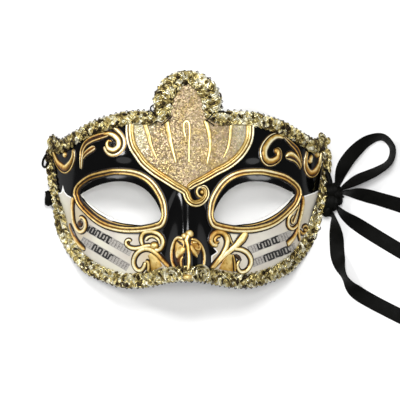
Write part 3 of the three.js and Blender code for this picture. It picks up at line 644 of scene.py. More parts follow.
def paintedFace():
    # Black lacquer, ivory paper with a white border below the eyes, glitter in the fan; below each eye a pale lip
    # and a sill of gold paint, darkened towards orange-brown as painted shade of the rim's inner wall
    look = newLook("paintedFace", Specular_IOR_Level=0.18)
    inPaper, onLip = between(tag("paper"), 0.0, 0.25), between(tag("lip"), 0.0, 0.2)
    inFan, onSill = between(tag("fan"), 0.0, 0.3), between(tag("sill"), 0.0, 0.3)
    paper = ramp(noise(55, 4), (0.3, 0.54, 0.49, 0.44), (0.5, 0.63, 0.60, 0.52), (0.7, 0.70, 0.675, 0.55))
    paper = blendOf(times(tag("warmth"), 0.62), paper, (0.50, 0.37, 0.18))
    paper = blendOf(between(tag("paper"), 0.7, 0.95, 1.0, 0.0), paper, (0.9, 0.89, 0.86))
    # The sill: gold paint, with painted shade making it darker and browner
    sill = ramp(noise(200, 2), (0.35, 0.44, 0.26, 0.07), (0.65, 0.66, 0.46, 0.16))
    flakes, tilted = glitterNodes()
    colour = blendOf(noise(60, 2), (0.0006, 0.0006, 0.0007), (0.0018, 0.0019, 0.0019))
    for share, over in ((inPaper, paper), (onSill, sill), (onLip, (0.86, 0.85, 0.8)), (inFan, flakes)):
        colour = blendOf(share, colour, over)
    rough = between(noise(120, 3), 0.3, 0.7, 0.06, 0.12)
    for share, more in ((inPaper, 0.3), (inFan, 0.18), (onSill, 0.3)):
        rough = maths("MULTIPLY_ADD", share, more, rough)
    soft = bumpOf(noise(45, 2), 0.15, 0.0004)
    give(Base_Color=colour, Roughness=rough, Metallic=times(inFan, 0.28),
         Normal=put("Mix", {0: inFan, 4: soft, 5: tilted}, data_type="VECTOR").outputs[1])
    return look


def plainBack():  # moulded card inside: unpainted, dull, slightly fibrous
    look, fibre = speckled("plainBack", 900, 5, (0.62, 0.61, 0.57), (0.72, 0.71, 0.67), Specular_IOR_Level=0.3)
    give(Roughness=between(fibre, 0.3, 0.7, 0.6, 0.85), Normal=bumpOf(fibre, 0.35, 0.0002))
    return look


cutEdge, _ = speckled("cutEdge", 500, 3, (0.78, 0.77, 0.72), (0.93, 0.92, 0.88), Roughness=0.5)  # bare and pale
shell = {"points": np.vstack([front, back]), "faces": [frontFaces, frontFaces[:, ::-1] + count, walls],
         "tags": shellTags, "look": [0, 1, 2]}
makePiece("maskShell", [shell], [paintedFace(), plainBack(), cutEdge], ["mask_shell"], 40)

# Relief: profiles carried along lines on the face
# Tones across each profile: the pale crests are painted highlight, the darker flanks and grooves painted shade, and the
# brown ends the paint's own outline
profiles = {  # across from -1 to 1, share of the height, tone
    "band": [(-1, 0.1, 0.08), (-0.84, 0.55, 0.42), (-0.55, 0.9, 0.8), (-0.15, 1, 0.98), (0.25, 1, 0.9),
        (0.58, 0.88, 0.68), (0.84, 0.55, 0.38), (1, 0.1, 0.08)],
    "twin": [(-1, 0.25, 0.3), (-0.92, 0.6, 0.95), (-0.78, 0.7, 1), (-0.68, 0.3, 0.2), (-0.58, 0.25, 0.08),
        (-0.46, 0.6, 0.38), (-0.2, 0.95, 0.55), (0.12, 1, 0.7), (0.42, 0.95, 0.92), (0.66, 0.85, 1), (0.84, 0.55, 0.6),
        (1, 0.1, 0.1)],
    "channel": [(-1, 0.2, 0.15), (-0.86, 0.7, 0.85), (-0.66, 0.95, 1), (-0.44, 0.7, 0.5), (0, 0.5, 0.3),
        (0.36, 0.7, 0.5), (0.62, 0.95, 0.95), (0.84, 0.7, 0.6), (1, 0.15, 0.1)],
    "leaf": [(-1, 0.15, 0.2), (-0.86, 0.65, 0.95), (-0.68, 0.7, 0.85), (-0.5, 0.45, 0.3), (-0.25, 0.45, 0.22),
        (0.05, 0.8, 0.55), (0.35, 1, 0.9), (0.65, 0.85, 1), (0.86, 0.5, 0.6), (1, 0.1, 0.1)],
    "rim": [(-1, 0.1, 0.1), (-0.86, 0.6, 0.8), (-0.6, 0.95, 1), (-0.34, 0.8, 0.78), (-0.1, 0.5, 0.3), (0.1, 0.6, 0.42),
        (0.36, 0.95, 0.8), (0.58, 0.95, 0.68), (0.8, 0.55, 0.3), (1, 0.1, 0.08)],
    "border": [(-1, 0.2, 0.5), (-0.92, 0.75, 0.98), (-0.78, 0.85, 1), (-0.56, 0.8, 0.97), (-0.44, 0.4, 0.3),
        (-0.34, 0.35, 0.2), (-0.22, 0.55, 0.5), (-0.04, 0.85, 0.85), (0.14, 0.9, 0.92), (0.3, 0.75, 0.66),
        (0.38, 0.6, 0.46), (0.48, 0.7, 0.62), (0.64, 0.75, 0.78), (0.82, 0.5, 0.74), (1, 0.1, 0.6)],
    "rib": [(-1, 0.05, 0.52), (-0.85, 0.5, 0.64), (-0.5, 0.75, 0.8), (0, 0.8, 0.89), (0.5, 0.75, 0.84),
        (0.85, 0.5, 0.68), (1, 0.05, 0.54)],
    "fill": [(-1, 0.3, 0.5), (-0.6, 0.5, 0.7), (0, 0.55, 0.76), (0.6, 0.5, 0.76), (1, 0.3, 0.6)],
}
reliefSet = {"step": 0.53, "skirt": 0.65, "root": -0.7, "hairline": 0.04, "fullWidth": 2.4, "roundOff": 0.8}
# Places washed with orange, as x, y and reach
washes = np.array([
    (-74, -13, 8), (-66, -23, 7), (-54, -29, 5), (-73, -38, 8), (-5, -41, 5), (6, -43, 5), (-7, -53, 5), (-14, -53, 6),
    (18, -37, 5), (19, -54, 6), (74, -13, 8), (70, -36, 8), (-84, 8, 6), (80, 5, 6), (-56, 29, 7), (26, -30, 5),
    (33, 5, 5), (62, 3, 5), (-18, 2, 5), (56, 14, 5), (-64, 20, 5), (70, 20, 5), (16, 2, 4)])


def washOf(x, y):
    near = np.exp(-((x[..., None] - washes[:, 0]) ** 2 + (y[..., None] - washes[:, 1]) ** 2) / washes[:, 2] ** 2)
    return np.clip(near.sum(-1), 0, 1)


def reliefBody(profile, rise, widths, points, tones=(0,), flip=False, closed=False, taper=True, slide=0.0,
               skirt=reliefSet["skirt"]):
    # Across the line the profile gives height and tone; along it the width and the tone change, and the ends round off
    path = evenly(through(points, 0.6), reliefSet["step"])
    path = path[:-1] if closed else path
    rows = len(path)
    run = runOf(path)
    x, y = path.T
    n = faceNormal(x, y)
    base = onFace(x, y)
    ahead = np.roll(base, -1, axis=0) - np.roll(base, 1, axis=0) if closed else np.gradient(base, axis=0)
    across = unit(np.cross(n, unit(ahead)))
    w = spread(widths, rows)
    high = rise * np.clip(w / reliefSet["fullWidth"], 0.45, 1)
    if taper and not closed:
        near = np.minimum(run, run[-1] - run)
        w = w * np.sqrt(np.clip(1 - (1 - np.clip(near / (w / 2), 0, 1)) ** 2, 0.03, 1))
        high = high * np.clip(near / reliefSet["roundOff"], 0.15, 1) ** 0.5
    p = through(profiles[profile], 0.14)
    p = (p * (-1, 1, 1))[::-1] if flip else p
    ends = np.array([-1, -1] + [0] * len(p) + [1, 1])  # a skirt and a buried root on each side of the profile
    foot = np.pad(np.pad(0 * p[:, 0], 1, constant_values=reliefSet["hairline"]), 1, constant_values=reliefSet["root"])
    p = np.pad(p, ((2, 2), (0, 0)))
    b = np.where(ends, ends, p[:, 0].clip(-1, 1))
    rings = (base[:, None] + across[:, None] * ((w / 2)[:, None] * b + skirt * ends + slide)[..., None]
             + n[:, None] * (high[:, None] * p[:, 1] + foot)[..., None])
    shade = p[:, 2] + spread(tones, rows)[:, None] * (1 - np.abs(ends)) * np.minimum(1, p[:, 2] * 2)
    return tube(rings, closed=closed, tone=shade, wash=washOf(x, y)[:, None])


def bead(x, y, radii, rise, turn=0.0, tone=0.9, low=0.1):  # half ball on the face with a dark foot
    # The tone rises from the dark foot to a pale top; the pale top is a painted highlight
    b = anglesOf(20)[None]
    grow = np.concatenate([[1.25, 1.18], np.cos(np.linspace(0.1, math.pi / 2 - 0.04, 8))])[:, None]
    up = np.concatenate([[reliefSet["root"], 0.05], rise * np.sin(np.linspace(0.1, math.pi / 2, 8))])[:, None, None]
    dx, dy = turned(radii[0] * grow * np.cos(b), radii[1] * grow * np.sin(b), turn)
    rings = onFace(x + dx, y + dy) + faceNormal(np.array([x]), np.array([y]))[0] * up
    shade = np.concatenate([[0, 0], np.linspace(low, tone, 8) ** 0.6])[:, None]
    return tube(rings, tone=np.clip(shade, 0, 1), wash=washOf(x + dx, y + dy))


gold = []  # everything that the gold paint covers


def stroke(*values, **changes):  # profile, height, widths, points and tones along the line
    gold.append(reliefBody(*values, **changes))


# Left brow
stroke("band", 1.6, [2, 3.2, 4, 4.2, 4.2, 4, 3.4, 2.6, 1.6], [(-54.6, 29.4), (-50.8, 29.8), (-47.2, 28.3),
       (-44.6, 25.2), (-44.7, 21.3), (-47.6, 19.1), (-50.8, 20.1), (-52, 22.8), (-50.9, 25), (-48.8, 24.6)],
       [-0.3, -0.05, 0.1, 0.1, 0.1, 0.05, -0.1, -0.35])
stroke("rib", 1.3, [1.5, 1.8, 1.8, 1.7, 1.5], [(-52.6, 36.4), (-49, 34.4), (-45.2, 31.7), (-42.2, 28.1), (-40.8, 23.8),
       (-42, 19.7), (-45.2, 16.7), (-49, 15.9), (-52.4, 17.8), (-54.2, 21.4)], [0.12])
stroke("channel", 1.4, [1.6, 2.6, 3.2, 4.4, 4.6, 3.6], [(-69.2, 7), (-68.9, 13.5), (-68.3, 19), (-66, 23.4),
       (-61.8, 26.3), (-57, 28), (-51, 29.6)], [0.15, 0.05, -0.05, -0.15, -0.1, 0.05])
stroke("channel", 1.4, [1.6, 3.2, 3.9, 4], [(-68.2, 13.5), (-66, 16.8), (-63, 19.3), (-60, 21)], [-0.1, 0, 0.15])
stroke("twin", 1.5, [2, 3.6, 6, 6.2, 3.6, 1.8], [(-88, 19.5), (-86.3, 14.5), (-84.3, 10.4), (-80.3, 7), (-77.6, 8.4),
       (-75.2, 12), (-74.1, 16), (-74.3, 20)], [-0.1, -0.12, -0.15, -0.1, -0.05, 0])
# Right brow
stroke("twin", 1.5, [2.5, 4.6, 5.4, 5.6, 5.6, 5, 3.4], [(62.5, 27.3), (58, 28.4), (54.2, 26.6), (51, 22.8),
       (49.2, 18.4), (49.8, 13.8), (52.4, 11.4), (55.6, 11.7), (58.8, 14.2), (59.2, 18), (57.2, 20.2)],
       [-0.05, 0.12, 0.1, 0.05, -0.02, -0.12, -0.15])
stroke("leaf", 1.6, [4.8, 6.6, 5, 3.2, 0.9], [(63.6, 14.6), (66.6, 15.4), (70, 13.6), (72.2, 10.6), (73.5, 6.7)],
       [0, -0.05, -0.1, -0.05])
stroke("channel", 1.3, [1.2, 3, 3.6, 2.8, 1.1], [(62.6, 28), (67.3, 23.3), (70.9, 19.5), (73, 14.4), (73.9, 8)],
       [0.1, -0.25, -0.25, -0.1])
stroke("twin", 1.5, [1.8, 3.2, 5, 5.6, 3.6, 2], [(77.8, 18.5), (76.7, 13), (77, 8.2), (78.6, 5), (80.6, 3.9),
       (83, 4.9), (85.1, 8.4), (86.4, 13), (87, 18.5)], [-0.05, 0.05, -0.1, -0.05, 0.05])
# Border of the fan, its curl and its ribs
stroke("border", 1.5, [5.6, 5.6, 5.4, 5.2, 4.8, 4.4, 3], fanLeft[:-1] + [(-1.5, -8.8), (-0.5, -11.8), (1, -14.5),
       (3.8, -16.2), (7.2, -16), (10.4, -14), (12.6, -11), (12.9, -7.6), (11.4, -4.9), (8.8, -4.4)],
       [0.1, 0, 0, -0.05, -0.1, 0], skirt=0.2, slide=0.6)
stroke("band", 1.5, [1.6, 2, 1.8], [(9.2, -4.6), (6.8, -5.6), (5.8, -8), (6.8, -10.6), (9.2, -11.8)], [0.05, -0.1],
       flip=True)
stroke("border", 1.5, [5.2, 5.2, 5, 4.4], fanRight, [0.1, 0, -0.05, -0.1], flip=True, skirt=0.2, slide=-0.6)
for widths, points in (
        ([3, 2.6, 1.2], [(-28, 36.6), (-25.4, 29), (-23.6, 22), (-20, 13.5)]),
        ([3.8, 3, 1.2], [(-14, 39), (-12, 30), (-10.6, 23), (-7.4, 10.6)]),
        ([1.7, 1.7, 1.5, 1], [(-1, 27), (-2.1, 31), (-2.5, 35), (-1.6, 37.4), (-0.2, 37.8), (1, 36.2), (1.4, 31.4),
         (1.1, 22), (0.9, 10.5)]),
        ([3.4, 2.6, 1.2], [(11.6, 39), (14.2, 29), (14.6, 20), (12.6, 9.8)]),
        ([2.4, 2, 1], [(28.4, 36), (27.6, 27), (26.3, 20.5), (23.3, 14)])):
    stroke("rib", 0.8, widths, points, skirt=0.12)
# Rims of the eyes, above reaching further in
rimTones = [-0.05, -0.1, 0.02, 0.05, 0, -0.05, -0.05, 0, 0.02, 0.05, 0.05, 0, -0.05]
rimWidths = [4.2, 4.2, 4.5, 4.8, 5, 5, 4.8, 4.2, 4.2, 4.2, 4.2]
rimMiddle = rimLine + 0.7 * ease((rimLine[:, 1:] + 30) / 8) * unit(np.array(shape["eyeCentre"]) - rimLine)
stroke("rim", 1.6, rimWidths, rimMiddle, rimTones, closed=True)
stroke("rim", 1.6, rimWidths, rimMiddle * (-1, 1), [-0.1, -0.3, -0.25, 0, 0, -0.02, 0, 0, 0.02, 0, -0.15, -0.1],
       flip=True, closed=True)
# Outer cheeks
stroke("band", 1.4, [3, 2.8, 2.8, 2.8, 2.6, 1.8], [(-74.4, -11.5), (-75, -17), (-74.8, -22), (-74.2, -27),
       (-72.6, -31.4), (-70, -33.9), (-67.4, -33), (-66.1, -29.8), (-66.8, -26.2), (-68.8, -24.4), (-70.4, -25.4)],
       [-0.05, 0.05, 0.08, 0.05])
stroke("band", 1.5, [1.8, 2.8, 3.6, 4, 4.2, 3], [(-77, -28.4), (-75.6, -32.6), (-73.8, -37.2), (-71.5, -41),
       (-68.6, -44), (-66.6, -45.6)], [-0.25, -0.2, -0.05, -0.05, -0.1])
stroke("band", 1.5, [2.8, 3, 3, 2.8, 2.6, 2.4, 1.8], [(74.5, -10.4), (75, -15), (74.5, -19), (73.5, -24),
       (72.3, -28.2), (71.9, -32), (72.4, -36.2), (73.4, -40)], [-0.3, 0, 0.05, 0, -0.05])
stroke("fill", 1.0, [2, 3.4, 3], [(71.4, -21.4), (70, -25), (68.8, -28)], [-0.35], skirt=0.1)
stroke("band", 1.4, [1.2, 2.2, 2.4, 2.4, 2.2], [(72.2, -17.4), (70.6, -19), (68, -21.6), (65.9, -24.4), (65.1, -27.6),
       (65.8, -30.7), (68, -32), (70.2, -30.8), (71.4, -28.8)], [0, 0.05, 0.05, 0])
stroke("band", 1.2, [1, 1.6, 1.5, 1.2], [(73, -16), (72.2, -19.4), (71, -23), (69.9, -26.2), (68.8, -28.5),
       (67.7, -27.6), (67.9, -25.4), (69.2, -23.4)], [0.02])
stroke("band", 1.5, [1.8, 2.8, 3.6, 4.4, 4], [(71.2, -32.4), (70, -35.6), (68.2, -38.6), (66.2, -40.8), (64.6, -42.2)],
       [-0.1, -0.15, 0, 0.05], taper=False)
stroke("band", 1.3, [2, 2.4, 2.2, 2, 1.6], [(73, -33), (74.9, -35.2), (76.9, -34), (78.2, -31.8), (77.2, -30),
       (75.5, -30.4), (75.1, -32)], [-0.25, -0.15, -0.2])
# Inner cheek, left
stroke("fill", 1.0, [2.5, 6.5, 11], [(-24.6, -48.6), (-21.8, -52.5), (-19.6, -58)], [0, 0.05, -0.1], skirt=0.2,
       taper=False)
stroke("band", 1.4, [1.6, 2.2, 2.6, 2.8, 2.8, 2.6], [(-36.4, -40.4), (-37.6, -39.2), (-39.3, -39.8), (-39.7, -41.8),
       (-37.7, -43.7), (-34.5, -44.7), (-31, -44.4), (-27, -43.1), (-23.6, -42.7)], [0.03])
stroke("band", 1.5, [2.4, 3.2, 3.2, 3, 3.2, 3.2], [(-28.9, -43), (-29.9, -38.8), (-28.8, -35.4), (-25.9, -33.7),
       (-21.6, -34), (-17.8, -35.9), (-15.5, -39.4), (-15.7, -43.2), (-18.4, -45.7), (-21.4, -45.4)],
       [0.05, -0.1, 0, 0.05, 0.05])
stroke("band", 1.3, [2.2, 1.8, 2, 1.6], [(-27.4, -39.4), (-25.3, -37.3), (-21.8, -36.9), (-18.8, -38.9),
       (-17.6, -42.2)], [0.1, 0, 0])
stroke("band", 1.6, [3.6, 3.6, 3.4, 3, 2.8, 2.6], [(-11.4, -56.6), (-15.6, -52.2), (-19.4, -48.5), (-23.2, -45.7),
       (-27, -44.9), (-31, -46.4), (-34, -50), (-34.8, -54.4), (-33.1, -58.1), (-30.2, -58.9), (-28, -56.5),
       (-27.2, -53.6)], [-0.2, -0.2, -0.05, 0.05, 0.08, 0.05, 0])
stroke("band", 1.3, [2.2, 2.6, 2.4], [(-27.2, -53), (-25.4, -53.6), (-25, -57), (-25.4, -60)], [-0.1, -0.2])
# Inner cheek, right
stroke("fill", 1.0, [2.5, 7, 10.5], [(28.2, -48.8), (26.4, -52.5), (24.8, -59)], [0.05, 0, -0.1], skirt=0.2,
       taper=False)
stroke("band", 1.6, [3, 3.8, 4.4, 4.2, 4, 3.4, 3, 2.8, 2.8], [(17.2, -43.2), (14.8, -40.6), (15.5, -36.8),
       (17.9, -34.5), (21.2, -33.9), (24.4, -35.8), (25.9, -39.6), (25, -44.1), (22.4, -48.8), (19.2, -52.5),
       (14.8, -57.4)], [0.1, -0.1, -0.25, -0.25, 0, 0.05, 0.05, 0, -0.15])
stroke("band", 1.3, [1.4, 2.4, 2.4, 1.6], [(21.6, -36.8), (19, -37), (17.4, -39.2), (18.6, -41), (20.4, -40)],
       [-0.15, -0.25])
stroke("band", 1.6, [5, 6, 4.6, 4, 3.6, 3, 2.4], [(38.2, -33.8), (35.6, -38), (31.9, -42.3), (28.1, -45.6),
       (24.1, -49), (20.2, -53), (16, -57.6)], [-0.1, 0, 0.08, 0.05, 0, -0.2])
stroke("band", 1.1, [1.2, 1.2, 1], [(26.6, -35.4), (28, -39.4), (29.6, -42.6)], [-0.1])
stroke("band", 1.5, [2.6, 3.2, 3.2, 3, 2.8, 2.4, 1.6], [(30, -45), (34.6, -45.4), (38.6, -47.6), (41, -51.6),
       (40.6, -55.8), (38, -59.2), (34.6, -60), (32.6, -58), (32.2, -55.2), (33.6, -52.4)], [0.05, 0.08, 0.05, 0])
stroke("band", 1.2, [1.4, 1.8, 1.8], [(29.4, -48.6), (30.4, -53), (30.9, -60)], [-0.25])
stroke("fill", 0.8, [1.2, 2.4, 1], [(30.8, -48.8), (32.8, -50.4), (34.8, -53)], [-0.5], skirt=0.3)
# Ornament on the nose
stroke("fill", 0.7, [6, 7.8, 7.4, 6], [(-4.2, -38.4), (-4.9, -43), (-5.4, -49), (-5, -56)], [0.16, 0.1, -0.38, -0.55],
       skirt=0.1)
stroke("band", 1.5, [2, 2.8, 3, 2.8, 2.6], [(-2.8, -38.2), (-6.1, -38), (-8.2, -41), (-9.5, -45.6), (-9.7, -50),
       (-8.8, -54.4), (-7, -58)], [0, 0.05, 0.05, -0.05, -0.1])
stroke("band", 1.5, [2, 2.8, 2.8, 2.6, 2.4], [(2, -38.6), (5, -39.6), (7.8, -42.4), (9.7, -46.4), (10.4, -50.9),
       (9.8, -56.5)], [-0.15, -0.15, 0, 0])
stroke("fill", 2.4, [1.3, 1.7, 1.3], [(-6.8, -39.4), (-4.4, -41.2), (-1.6, -43.4)], [-0.52], skirt=0.1)
# A pale stripe beside the dark one: a painted highlight
stroke("fill", 2.8, [0.8, 1.2, 0.8], [(-6.6, -41.4), (-4.4, -43), (-2, -44.4)], [0.14], skirt=0.1)
stroke("rib", 1.9, [3, 6, 5, 1.4], [(-1.2, -44.4), (-3.6, -45.8), (-5.4, -47.6), (-6.2, -51.2)], [-0.1, 0.04, 0.08],
       skirt=0.3)
stroke("band", 1.2, [1.6, 2.4, 1.8], [(-2.4, -49.4), (-3.8, -52.4), (-3.4, -57.6)], [-0.15, -0.2])
stroke("fill", 0.9, [3.4, 6.2, 6, 2], [(2.4, -40), (4.8, -42.4), (6, -45.4), (5.6, -49.4)], [-0.15, -0.1, -0.3],
       skirt=0.2)
stroke("rib", 1.5, [2, 3, 3.2, 0.9], [(2, -42.4), (3.2, -45.6), (4.8, -48), (6.4, -50.4)], [-0.12, -0.1, -0.02],
       skirt=0.3)
stroke("band", 1.4, [1.4, 2, 2.2, 1.4], [(3.2, -40.8), (5.8, -40.8), (7.6, -43), (7, -45.4), (5, -45), (5, -43.4)],
       [-0.05, -0.15])
stroke("band", 1.8, [3.4, 3.4, 3, 3.2, 2.8, 2.2], [(0.9, -35.6), (-0.5, -39.6), (0.2, -43), (0.7, -47), (0.9, -51),
       (0.8, -55), (0, -60.6)], [0.05, -0.16, -0.12, -0.04])
gold += [
    bead(0, -62.8, (3.8, 2.1), 3.8, tone=0.8, low=0.3), bead(-1.9, -36.6, (1.9, 1.8), 1.7, 30, tone=0.98, low=0.35),
    bead(-79.9, 16.2, (1.3, 1.9), 1.5, tone=1), bead(80.2, 13.4, (1.1, 3), 1.5, -14, tone=1),
    bead(79.6, 12, (1.5, 1.5), 1.7, tone=1), bead(84.4, 16.4, (1.7, 2), 1.6, tone=0.85),
    bead(-70.1, -28.9, (1.7, 2.1), 1.2, tone=0.2, low=0.05), bead(76.6, -32.7, (1, 1), 1.3, tone=1),
    bead(-21.4, -42.9, (2.9, 2.5), 2.2, tone=1), bead(1.4, -35.2, (2.5, 2.3), 2.3, -25, tone=1, low=0.4),
    bead(9.3, -8.3, (1.5, 1.5), 1.8, tone=0.75), bead(-47.6, 22.3, (0.7, 1.6), 0.6, tone=0.0, low=0.0),
    bead(57.4, 18.4, (1.3, 1.9), 1.6, 20, tone=0.7), bead(17.6, -42.6, (2, 1.5), 2, tone=1),
    bead(-38, -41.2, (0.7, 0.9), 1.2, tone=0.15)]


def goldPaint():
    # Tone runs from the brown outline over orange and gold to the pale crests, a little mottled, with orange washes
    # The pale crests are painted highlight and the orange-brown flanks and darker grooves painted shade; the brown
    # outline at the foot is the paint's own
    look = newLook("goldPaint", Coat_Weight=0.15, Coat_Roughness=0.15, Specular_IOR_Level=0.4)
    mottle = noise(420, 4)
    tone = plus(tag("tone"), between(mottle, 0.3, 0.7, -0.105, 0.045))
    colour = ramp(tone, (0.05, 0.005, 0.0025, 0.001), (0.22, 0.03, 0.012, 0.0015), (0.42, 0.17, 0.08, 0.008),
                  (0.62, 0.49, 0.30, 0.06), (0.82, 0.80, 0.63, 0.25), (1.0, 0.96, 0.89, 0.60))
    wash = times(tag("wash"), between(tone, 0.3, 0.95, 1.0, 0.35))
    orange = blendOf(noise(150, 2), (1, 0.62, 0.24), (1, 0.78, 0.36))
    give(Base_Color=blendOf(wash, colour, orange, blend_type="MULTIPLY"),
         Metallic=between(tag("tone"), 0.15, 0.5, 0.0, 0.4),
         Roughness=between(mottle, 0.3, 0.7, 0.24, 0.4), Normal=bumpOf(mottle, 0.2, 0.0001))
    return look


makePiece("goldRelief", gold, [goldPaint()], (), 60)

# The braid: three plaited strands of four metallic yarns, with small loops along the edge

braidSet = {"pitch": 12.4, "swing": 2.5, "middle": -2.5, "yarns": 4, "yarnGap": 0.9, "yarnRadius": 0.56, "rise": 0.85,
            "base": 1.35, "step": 0.62, "sides": 7, "loopRadius": 0.36, "loopSize": 0.75, "loopPitch": 3.8,
            "coilRadius": 0.55, "floorGap": 0.05, "coreGap": 0.04, "arch": 0.13, "lowest": 0.35,
            "droopOut": 0.22, "droopOutFrom": 2.3, "droopIn": 0.16, "droopInFrom": 3.1, "fatten": 0.45}
sideY = np.linspace(27.5, shape["sideFoot"], 50)
halfEdge = evenly(np.vstack([browLine, np.stack([sideX(sideY), sideY], -1), cheekLine[1:], noseLine[1:]]), 0.5)
wholeEdge = np.vstack([halfEdge * (-1, 1), halfEdge[::-1][1:]])  # left neck, round below, right neck
crownArc = np.radians(np.linspace(-34, 214, 260))
crownEdge = np.stack([shape["crownRadius"] * np.cos(crownArc),
                      shape["crownY"] + shape["crownRadius"] * np.sin(crownArc)], -1)


def rounded(path, width):  # line smoothed over a short length, its ends kept
    step = 0.5
    path = evenly(path, step)
    n = int(width / step)
    weights = np.hanning(2 * n + 1)
    padded = np.vstack([2 * path[:1] - path[1:n + 1][::-1], path, 2 * path[-1:] - path[-n - 1:-1][::-1]])
    return np.stack([np.convolve(padded[:, a], weights / weights.sum(), "valid") for a in (0, 1)], -1)


def edgeFrame(path, lift, flatter=0.0):
    # Place, outward, upward and (outside the edge) flatter directions, looked up by length
    x, y = path.T
    n = faceNormal(x, y)
    base = onFace(x, y, np.full(len(x), lift))
    run = runOf(base)
    out = squareTo(base, n)[0]
    share = np.asarray(flatter)[..., None]
    table = np.hstack([base, out, n, unit(out * (1 - share) + unit(out * (1, 1, 0)) * share)])
    return run[-1], lambda s: np.split(np.stack([np.interp(s, run, column) for column in table.T], -1), 4, axis=-1)


def onEdge(at, where, across, up):
    # Points at lengths along the edge, with the upward direction there: across follows the face inside the edge and
    # lies flatter outside it
    base, out, n, flare = at(where)
    across = across[..., None]
    return base + (out * np.minimum(across, 0) + flare * np.maximum(across, 0)) + n * up[..., None], n


def edgeWidth(p):
    # Share of the full width and place of the middle: squeezed on the upper sides, fuller at corners, cheeks and foot
    x, y = np.abs(p[:, 0]), p[:, 1]
    squeeze = ease((x - 78) / 6) * ease((y + 28) / 16) * ease((23 - y) / 6)
    full = ease((-50 - y) / 8) + 0.5 * ease((y - 31) / 5) + 1.3 * np.exp(-((x - 88) ** 2 + (y - 26) ** 2) / 50)
    cheek = ease((-8 - y) / 14) * ease((y + 66) / 14) * ease((x - 36) / 12)
    wide = 1 + 0.2 * full - np.where(p[:, 0] > 0, 0.2, 0.28) * squeeze + 0.33 * cheek
    return wide, (braidSet["middle"] * (1 - 0.95 * squeeze) + 0.6 * squeeze) * (1 - cheek) - 0.6 * cheek


def crownWidth(p):  # widest at both shoulders, so that the field inside it comes to a point
    angle = np.degrees(np.arctan2(p[:, 1] - shape["crownY"], np.abs(p[:, 0])))
    shoulder = ease((angle + 32) / 25) * ease((90 - angle) / 48)
    return 1.12 + 0.5 * shoulder, braidSet["middle"] - 1.5 * shoulder


def yarnBodies(total, at, seed, widthOf, startPhase=0.0):
    # Strand k swings across the edge as a sine and rises and dips twice as fast, a third of a turn after the last.
    # Its yarns lie side by side, square to its own direction, and droop over both sides
    b = braidSet
    s = np.linspace(0, total, int(total / b["step"]))
    wide, middle = widthOf(at(s)[0])
    angles = anglesOf(b["sides"])
    end = np.sqrt(np.clip(np.minimum(s, total - s) / 0.8, 0.1, 1))
    dice = np.random.default_rng(seed)
    bodies = []
    for k in range(3):
        turn = math.tau * (s / b["pitch"] + k / 3 + 0.07 * wander(s, seed + k, 31)) + startPhase
        swing = b["swing"] * wide * (1 + 0.12 * wander(s, seed + 11 + k, 23))
        lean = np.arctan(swing * math.tau / b["pitch"] * np.cos(turn))
        for j in range(b["yarns"]):
            d = (j - (b["yarns"] - 1) / 2) * b["yarnGap"] * wide * (1 + 0.15 * wander(s, seed + 7 * j + k, 9))
            across = middle + swing * np.sin(turn) + d * np.cos(lean)
            up = b["base"] + b["rise"] * np.sin(2 * turn) - b["arch"] * d * d + 0.15 * wander(s, seed + 5 * j + k, 5)
            up = up - b["droopOut"] * np.clip(across - middle - b["droopOutFrom"] * wide, 0, None) ** 2
            up = up - b["droopIn"] * np.clip(middle - b["droopInFrom"] * wide - across, 0, None) ** 2
            line, n = onEdge(at, np.clip(s - d * np.sin(lean), 0, total), across, np.maximum(up, b["lowest"]))
            radius = b["yarnRadius"] * (1 + 0.14 * wander(s, seed + 3 * j + k, 4)) * (1 + b["fatten"] * (wide - 1))
            rings = ringsRound(line, *squareTo(line, n), radius * end, angles - math.pi / 2)
            bodies.append(tube(aboveFloor(rings, b["floorGap"]), yarn=dice.uniform(0, 1), run=s[:, None],
                               turn=angles / (math.tau)))
    return bodies


def edgeLoops(total, at, seed, widthOf, side=1, tone=0.0, reach=1.1, look=0):
    # Small loops of thread at the turns of the plait: half rings standing off its outer side, or with -1 its inner one
    b, size = braidSet, braidSet["loopSize"]
    dice = np.random.default_rng(seed)
    spots = np.arange(b["loopPitch"] * 0.75, total - 1, b["loopPitch"])
    spots = spots + dice.uniform(-0.5, 0.5, len(spots))
    long = reach * dice.uniform(0.7, 1.25, (len(spots), 1))
    a = np.linspace(0, math.pi, 9)[None]
    wide, middle = widthOf(at(spots)[0])
    across = (middle + side * wide * (b["swing"] + 1.2))[:, None] + side * long * np.sin(a)
    where = np.clip(spots[:, None] + size * np.cos(a) * 0.95, 0, total)
    line, n = onEdge(at, where, across, 0.9 - 0.5 * np.sin(a))
    angles = anglesOf(5)
    rings = aboveFloor(ringsRound(line, *squareTo(line, n), b["loopRadius"] * size, angles), b["floorGap"])
    return [tube(ring, look=look, yarn=tone, run=spot, turn=angles / 7) for spot, ring in zip(spots, rings)]


def coreBody(total, at, widthOf):  # dark flat cord under the strands, as wide as they are
    # Its dark colour stands in for the shade in the gaps between the strands: painted shade
    s = np.linspace(0, total, int(total / 1.2))
    section = np.array([(-6.1, -0.5), (-6, 0.5), (-4.6, 1.1), (-2.4, 1.3), (-0.2, 1), (1.5, 0.1), (1.4, -1.2),
                        (0.45, -1.7), (0.45, -0.5)])
    wide, middle = (v[:, None] for v in widthOf(at(s)[0]))
    inward = np.maximum(2.2, 3.6 * wide - middle) / -section[:, 0].min()
    outward = np.maximum(1.5, 3 * wide + middle) / section[:, 0].max()
    across = section[:, 0] * np.where(section[:, 0] < 0, inward, outward)
    rings, _ = onEdge(at, s[:, None], across, section[:, 1])
    return tube(aboveFloor(rings, braidSet["coreGap"]), look=1, yarn=0.0, run=s[:, None], turn=0.0)


